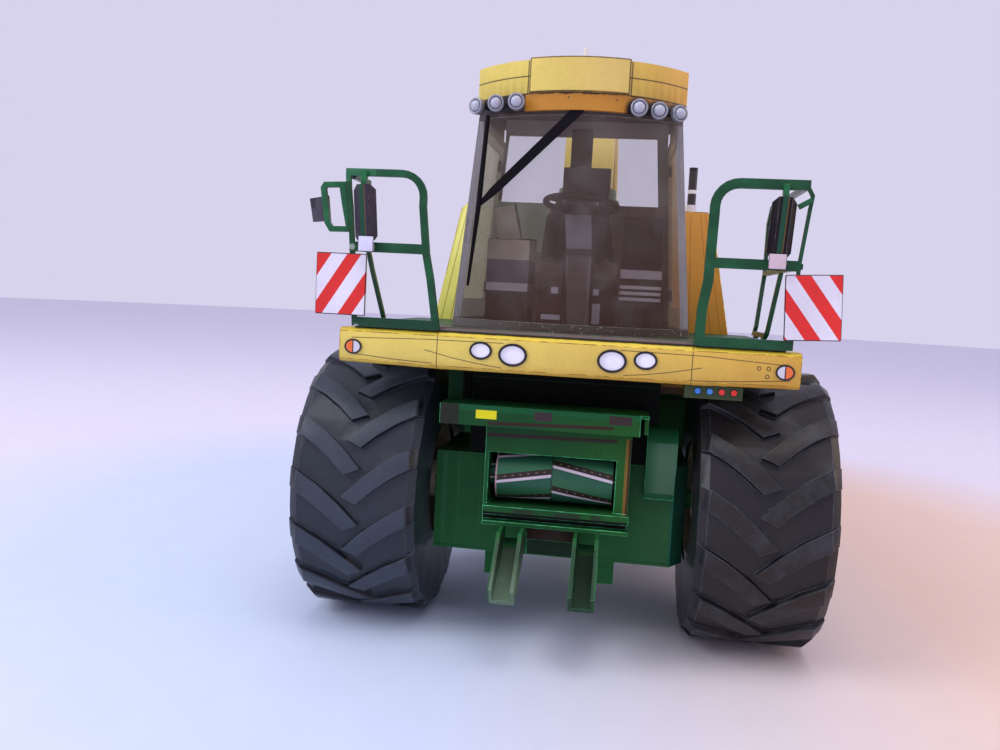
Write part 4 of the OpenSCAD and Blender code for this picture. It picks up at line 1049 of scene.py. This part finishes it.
class HARVESTER_OT_rails(Operator):
    """Dress the guard rails, the ladder and the mirror brackets"""

    bl_idname = "harvester.rails"
    bl_label = "Rails"

    def execute(self, context):
        edge = edge_ink("Rail edge", (34, 62, 44), (88, 96, 70), 0.4)
        front = rail_card("Front rail card", 1.0)
        # Painted highlight: paler green at the top of the post on the machine's right.
        front.patch((60, 128, 88), 0.5, x=(-54, -46), z=(112, 116))
        front.patch((18, 60, 38), 0.8, x=(-51, -29), z=(77, 80.8))
        for x, z, r in ((-51.2, 96.8, 0.7), (-49.6, 77.9, 0.7), (47.9, 97.4, 0.6)):
            front.lay(front.disc("y", (x, 0, z), r, 0.6), (176, 190, 182), 0.6)
        dress("front_rails", front.done(rough=0.36, coat=0.12, shine=0.2), edge, 0.2, 2)
        side = rail_card("Side rail card", 0.95)
        dress("side_rails", side.done(rough=0.34, coat=0.25), edge, 0.14)
        dress("ladder", rail_card("Ladder card", 1.1).done(rough=0.36, coat=0.2), edge, 0.14)
        arms = rail_card("Bracket card", 1.25)
        # Painted highlight: a pale green spot on the top of the bracket on the machine's left.
        arms.lay(arms.oval((48.9, 0, 114.4), (0.9, None, 0.8), 0.5), (120, 184, 140), 0.7)
        arms.patch((78, 70, 84), 0.92, x=(-63.5, -56.9), y=(1, 2), z=(101.8, 109))
        arms.patch((48, 42, 54), 0.8, x=(-63.5, -61), y=(1, 2), z=(105.5, 109))
        dress("mirror_arms", arms.done(rough=0.36, coat=0.1, shine=0.2), edge, 0.12)
        return {"FINISHED"}


def mirror_card():
    """Dark heads with a green strip down the front, and a thin yellow-brown painted highlight beside it."""
    card = Card("Mirror card", (58, 52, 64))
    card.lay(card.ramp(card.noise(card.place, 0.4, 4.0), 0.45, 0.7), (48, 43, 52), 0.6)
    card.patch((24, 18, 20), 0.9, x=(40, 60))
    face = card.box(y=(-3, -2.1))
    for foot, top in (((-47.9, 98.8), (-48.9, 111)), ((46.2, 99.4), (46.8, 111.4))):
        card.draw(face, "xz", [foot, top], 1.1, (34, 74, 56))
        # Painted highlight: a thin yellow-brown line beside each strip.
        highlight_line = [(p[0] + 0.7, p[1]) for p in (foot, top)]
        card.draw(face, "xz", highlight_line, 0.2, (112, 88, 44), 0.9)
    return card.done(rough=0.42, shine=0.12)


# Height of the boards' middle, and for each board: its middle, how far its stripes go across for one up,
# where one starts at that height, how far they lie apart, the red share, and the red's tone.
BOARD_Z = 95.2
BOARDS = (
    (54.75, 1 / 1.32, 49.94, 7.5, 0.48, 1.0),
    (-53.45, -1 / 1.545, -51.92, 7.25, 0.47, 0.96),
)


def stripes(card, run, start, pitch, share):
    """Slanted stripes: run is how far across they go for one up, and share the red part of a pitch."""
    foot = card.math("SUBTRACT", card.z, BOARD_Z)
    across = card.math("ADD", card.x, card.math("MULTIPLY", foot, run))
    turn = card.math("FRACT", card.math("DIVIDE", card.math("SUBTRACT", across, start), pitch))
    return card.math("LESS_THAN", turn, share)


class HARVESTER_OT_signs(Operator):
    """Dress the mirrors, the reflectors and the striped warning boards"""

    bl_idname = "harvester.signs"
    bl_label = "Mirrors and boards"

    def execute(self, context):
        dress("mirrors", mirror_card(), edge_ink("Mirror edge", (24, 22, 26), (84, 78, 90)), 0.2, 2)
        board = Card("Board card", (226, 222, 234))
        for x, *pattern, tone in BOARDS:
            near = board.box(x=(x - 7, x + 7))
            board.lay(board.within(near, stripes(board, *pattern)), tinted(ink("board_red"), tone))
        edge = edge_ink("Board edge", (26, 22, 28), (70, 60, 68))
        dress("warning_boards", board.done(rough=0.36, coat=0.2), edge, 0.2)
        white = Card("Reflector card", (216, 214, 236))
        white.patch((206, 184, 194), x=(40, 50))
        white.patch((150, 156, 152), y=(-2.3, 0.5))
        dress("reflectors", white.done(rough=0.3, coat=0.3), edge, 0.1)
        return {"FINISHED"}


# Rear body and spout


# Printed on the body: seams of its sides as points of y and z, handles, and seams of its top.
SIDE_SEAMS = (
    ((70, 79.6), (70, 110), (84, 112.4)), ((84, 79.6), (84, 112.4)),
    ((138, 79.6), (138, 111)), ((208, 79.6), (208, 106)),
    ((68, 79.6), (224, 79.6)), ((68, 62.4), (224, 62.4)),
    ((120, 62.4), (120, 79.6)), ((170, 62.4), (170, 79.6)),
)
HANDLES = ((73, 92), (134.5, 84), (204, 84), (116, 66), (166, 66))
TOP_SEAMS = (loop(-26, 26, 94, 208), [(-26, 150), (26, 150)], loop(-14, 14, 158, 200))
VENTS = 9
# Creases of the body's front, as the distance from the middle at the foot and at the top.
FRONT_CREASES = ((42.8, 35.9), (39.8, 34.5), (33.4, 31.6))


def hood_card():
    """Yellow body: creased front with painted light, pale on one half and orange on the other, printed doors,
    handles and stripes on the sides, a seamed top.
    """
    card = Card("Hood card", ink("yellow"))
    front = card.box(y=(HOOD_FRONT - 0.5, HOOD_FRONT + 0.6))
    # Painted light: the front's half on the machine's right is pale, where the window light falls, and the
    # half on its left is orange from the warm light; the creases are drawn in a darker tone of each half.
    card.lay(card.within(front, card.box(x=(-48, 0))), (226, 222, 108))
    card.lay(card.within(front, card.box(x=(0, 48))), (204, 144, 46))
    for foot, top in FRONT_CREASES:
        for sign, brown in ((-1, (150, 140, 50)), (1, (176, 116, 32))):
            card.draw(front, "xz", [(sign * foot, 79), (sign * top, 114)], 0.35, brown, 0.8)
    side = card.outside(card.box(x=(-37.9, 37.9)))
    for points in SIDE_SEAMS:
        card.draw(side, "yz", points, 0.26, DARK_LINE, 0.85)
    for y, z in HANDLES:
        handle = card.box(y=(y, y + 3.2), z=(z, z + 1.1), soft=0.2)
        card.lay(card.within(side, handle), NEAR_BLACK, 0.95)
    stripe_foot = card.math("MULTIPLY_ADD", card.y, 0.06, 62.5)
    over_foot = card.math("SUBTRACT", card.z, stripe_foot)
    stripe = card.within(card.ramp(over_foot, -0.1, 0.1), card.ramp(over_foot, 4.1, 3.9))
    card.lay(card.within(side, stripe, card.box(y=(122, 222), z=(62.6, 79.4))), ink("green"), 0.95)
    lid = card.box(x=(-33.6, 33.6), z=(96, HOOD_TOP + 0.4))
    for points in TOP_SEAMS:
        card.draw(card.within(lid, card.outside(front)), "xy", points, 0.3, DARK_LINE, 0.8)
    for k in range(VENTS):
        y = 162 + 4.2 * k
        card.draw(lid, "xy", [(-11.5, y), (11.5, y)], 1.5, (54, 50, 40), 0.9)
    rear = card.box(y=(HOOD_BACK - 0.3, HOOD_BACK + 1))
    card.draw(rear, "xz", [(-42, 95), (42, 95)], 0.3, DARK_LINE)
    card.patch((64, 60, 44), 0.8, z=(59.5, 62.2))
    return card.done(rough=0.42, coat=0.15)


def spout_card():
    """Yellow spout with printed seams, rows of rivets and a green collar."""
    card = Card("Spout card", ink("yellow"))
    card.lay(card.ramp(card.noise(card.place, 0.04, 2.0), 0.4, 0.7), (228, 190, 84), 0.4)
    for y in (112, 135, 160, 186, 208):
        card.patch(DARK_LINE, 0.8, y=(y - 0.14, y + 0.14))
    for y in (110.6, 113.4, 158.6, 161.4, 206.6, 209.4):
        dots = card.math("SINE", card.math("MULTIPLY", card.x, 2.2))
        card.lay(card.within(card.box(y=(y - 0.25, y + 0.25)), card.ramp(dots, 0.6, 0.8)), (120, 96, 40), 0.8)
    card.patch(tinted(ink("green"), 0.9), y=(66, 92), z=(114, 121.8))
    card.patch((96, 84, 50), 0.35, x=(-6.4, 6.4), y=(104, 221), z=(100, 150.5), soft=0.3)
    return card.done(rough=0.42, coat=0.15)


class HARVESTER_OT_body(Operator):
    """Dress the rear body, its grilles and lamps, the exhaust, the turret and the spout"""

    bl_idname = "harvester.body"
    bl_label = "Rear body and spout"

    def execute(self, context):
        inked = edge_ink("Body edge", (140, 104, 28), (236, 206, 72))
        dress("hood", hood_card(), inked, 0.22)
        grille = Card("Grille card", (38, 48, 42))
        wires = grille.crossed(grille.math("ADD", grille.x, grille.y), grille.z, 4.4)
        grille.lay(grille.ramp(grille.math("MAXIMUM", *wires), 0.75, 0.9), (86, 96, 88), 0.6)
        made = grille.done(rough=0.42)
        edge = edge_ink("Grille edge", (28, 34, 30), (96, 108, 98))
        dress("hood_grilles", made, edge, 0.14)
        dress("rear_grille", made, edge, 0.14)
        lamps = Card("Rear lamp card", (196, 44, 36))
        for span in ((37, 41.4), (-41.4, -37)):
            lamps.patch((228, 120, 40), x=span)
        lamps.patch((222, 220, 222), z=(74.6, 78.4))
        for x in (33.05, 37.0, -33.05, -37.0):
            lamps.patch(OUTLINE, x=(x - 0.15, x + 0.15))
        lamp_edge = edge_ink("Lamp edge", (30, 26, 28), (70, 60, 60))
        dress("rear_lamps", lamps.done(rough=0.25, coat=0.5, depth=0.01), lamp_edge, 0.15)
        pipe = Card("Exhaust card", (54, 50, 56))
        pipe.patch((206, 202, 220), z=(114, 119.6))
        pipe.patch((214, 212, 224), z=(123.2, 124.4))
        pipe.patch((30, 28, 32), z=(130.4, 132))
        dress("exhaust", pipe.done(rough=0.4, depth=0.03), None)
        turret = green_card("Turret card")
        dress("spout_turret", turret.done(), None)
        dress("spout", spout_card(), inked, 0.2, 1, 35)
        return {"FINISHED"}


# Floor, lights and camera


# The floor in metres, and the camera in millimetres, degrees and the photograph's pixels.
FLOOR_REACH = 3.0
FLOOR_STEPS = 96
CAMERA_SPOT = (12.84, -197.73, 86.79)
CAMERA_TURN = (84.7729, -2.9776, 8.0723)
FOCAL_LENGTH = 855.34
PHOTO_WIDTH = 1000
SENSOR_WIDTH = 36.0


class HARVESTER_OT_stage(Operator):
    """Make the pale floor, the soft lights and the camera at the photograph's angle"""

    bl_idname = "harvester.stage"
    bl_label = "Floor, lights and camera"

    def light(self, name, place, aim, size, watts, colour):
        """Adds a round area light; places and sizes are in metres."""
        data = bpy.data.lights.new(name, "AREA")
        data.shape, data.size, data.energy, data.color = "DISK", size, watts, colour
        lamp = bpy.data.objects.new(name, data)
        bpy.context.scene.collection.objects.link(lamp)
        lamp.location = Vector(place)
        lamp.rotation_euler = (Vector(aim) - Vector(place)).to_track_quat("-Z", "Y").to_euler()

    def execute(self, context):
        look = context.scene.harvester_stage
        turns = [2 * math.pi * k / FLOOR_STEPS for k in range(FLOOR_STEPS)]
        ring = [(FLOOR_REACH * math.cos(t), FLOOR_REACH * math.sin(t), 0.0) for t in turns]
        mesh = bpy.data.meshes.new("floor")
        mesh.from_pydata(ring, [], [tuple(range(FLOOR_STEPS))])
        floor = bpy.data.objects.new("floor", mesh)
        context.scene.collection.objects.link(floor)
        paper = Card("Floor paper", (206, 218, 240))
        # Painted warm light: the paper turns peach towards the machine's left.
        paper.lay(paper.ramp(paper.x, -20, 110), (232, 204, 190))
        far = paper.oval((0, MID_Y, 0), (230, 230, None), 0.45)
        paper.lay(paper.outside(far), (226, 222, 236))
        mesh.materials.append(paper.done(rough=0.8, depth=0.01, blotch=0.02))

        world = bpy.data.worlds.new("Room")
        world.use_nodes = True
        context.scene.world = world
        back = next(n for n in world.node_tree.nodes if n.type == "BACKGROUND")
        back.inputs["Color"].default_value = linear((215, 211, 236))
        back.inputs["Strength"].default_value = look.sky

        self.light("window", (-0.75, -0.55, 0.75), (0, 0, 0.05), 0.7, look.key * 2.2, (0.93, 0.96, 1.0))
        self.light("lamp", (0.1, -0.35, 1.0), (0, 0, 0.05), 0.6, look.key, (1.0, 0.98, 0.95))
        self.light("warm", (0.8, -0.1, 0.35), (0, 0, 0.06), 0.5, look.fill, (1.0, 0.72, 0.45))

        data = bpy.data.cameras.new("camera")
        data.sensor_width = SENSOR_WIDTH
        data.lens = FOCAL_LENGTH * SENSOR_WIDTH / PHOTO_WIDTH
        data.clip_start, data.clip_end = 0.01, 20
        camera = bpy.data.objects.new("camera", data)
        context.scene.collection.objects.link(camera)
        turn = Euler([math.radians(angle) for angle in CAMERA_TURN]).to_matrix().to_4x4()
        camera.matrix_world = Matrix.Translation(row(*CAMERA_SPOT)) @ turn
        context.scene.camera = camera
        return {"FINISHED"}


class HARVESTER_PT_parts(Panel):
    """Lists what can be dressed, and the values behind it"""

    bl_idname = "HARVESTER_PT_parts"
    bl_label = "Card forage harvester"
    bl_space_type = "VIEW_3D"
    bl_region_type = "UI"
    bl_category = "Harvester"

    def draw(self, context):
        scene = context.scene
        for name in ("harvester_inks", "harvester_surface", "harvester_stage"):
            group = getattr(scene, name)
            box = self.layout.box()
            for key in group.__annotations__:
                box.prop(group, key)
        for step in STEPS:
            self.layout.operator(step.bl_idname)


GROUPS = {
    "harvester_inks": HARVESTER_PG_inks,
    "harvester_surface": HARVESTER_PG_surface,
    "harvester_stage": HARVESTER_PG_stage,
}
STEPS = (
    HARVESTER_OT_wheels,
    HARVESTER_OT_frame,
    HARVESTER_OT_intake,
    HARVESTER_OT_beam,
    HARVESTER_OT_cab,
    HARVESTER_OT_inside,
    HARVESTER_OT_roof,
    HARVESTER_OT_rails,
    HARVESTER_OT_signs,
    HARVESTER_OT_body,
    HARVESTER_OT_stage,
)


def register():
    for kind in (*GROUPS.values(), *STEPS, HARVESTER_PT_parts):
        bpy.utils.register_class(kind)
    for name, group in GROUPS.items():
        setattr(bpy.types.Scene, name, PointerProperty(type=group))


def unregister():
    for name in GROUPS:
        delattr(bpy.types.Scene, name)
    for kind in (HARVESTER_PT_parts, *reversed(STEPS), *GROUPS.values()):
        bpy.utils.unregister_class(kind)


def main():
    register()
    bpy.context.scene.view_settings.view_transform = "Standard"
    for step in STEPS:
        group, name = step.bl_idname.split(".")
        getattr(getattr(bpy.ops, group), name)()


if __name__ == "__main__":
    main()
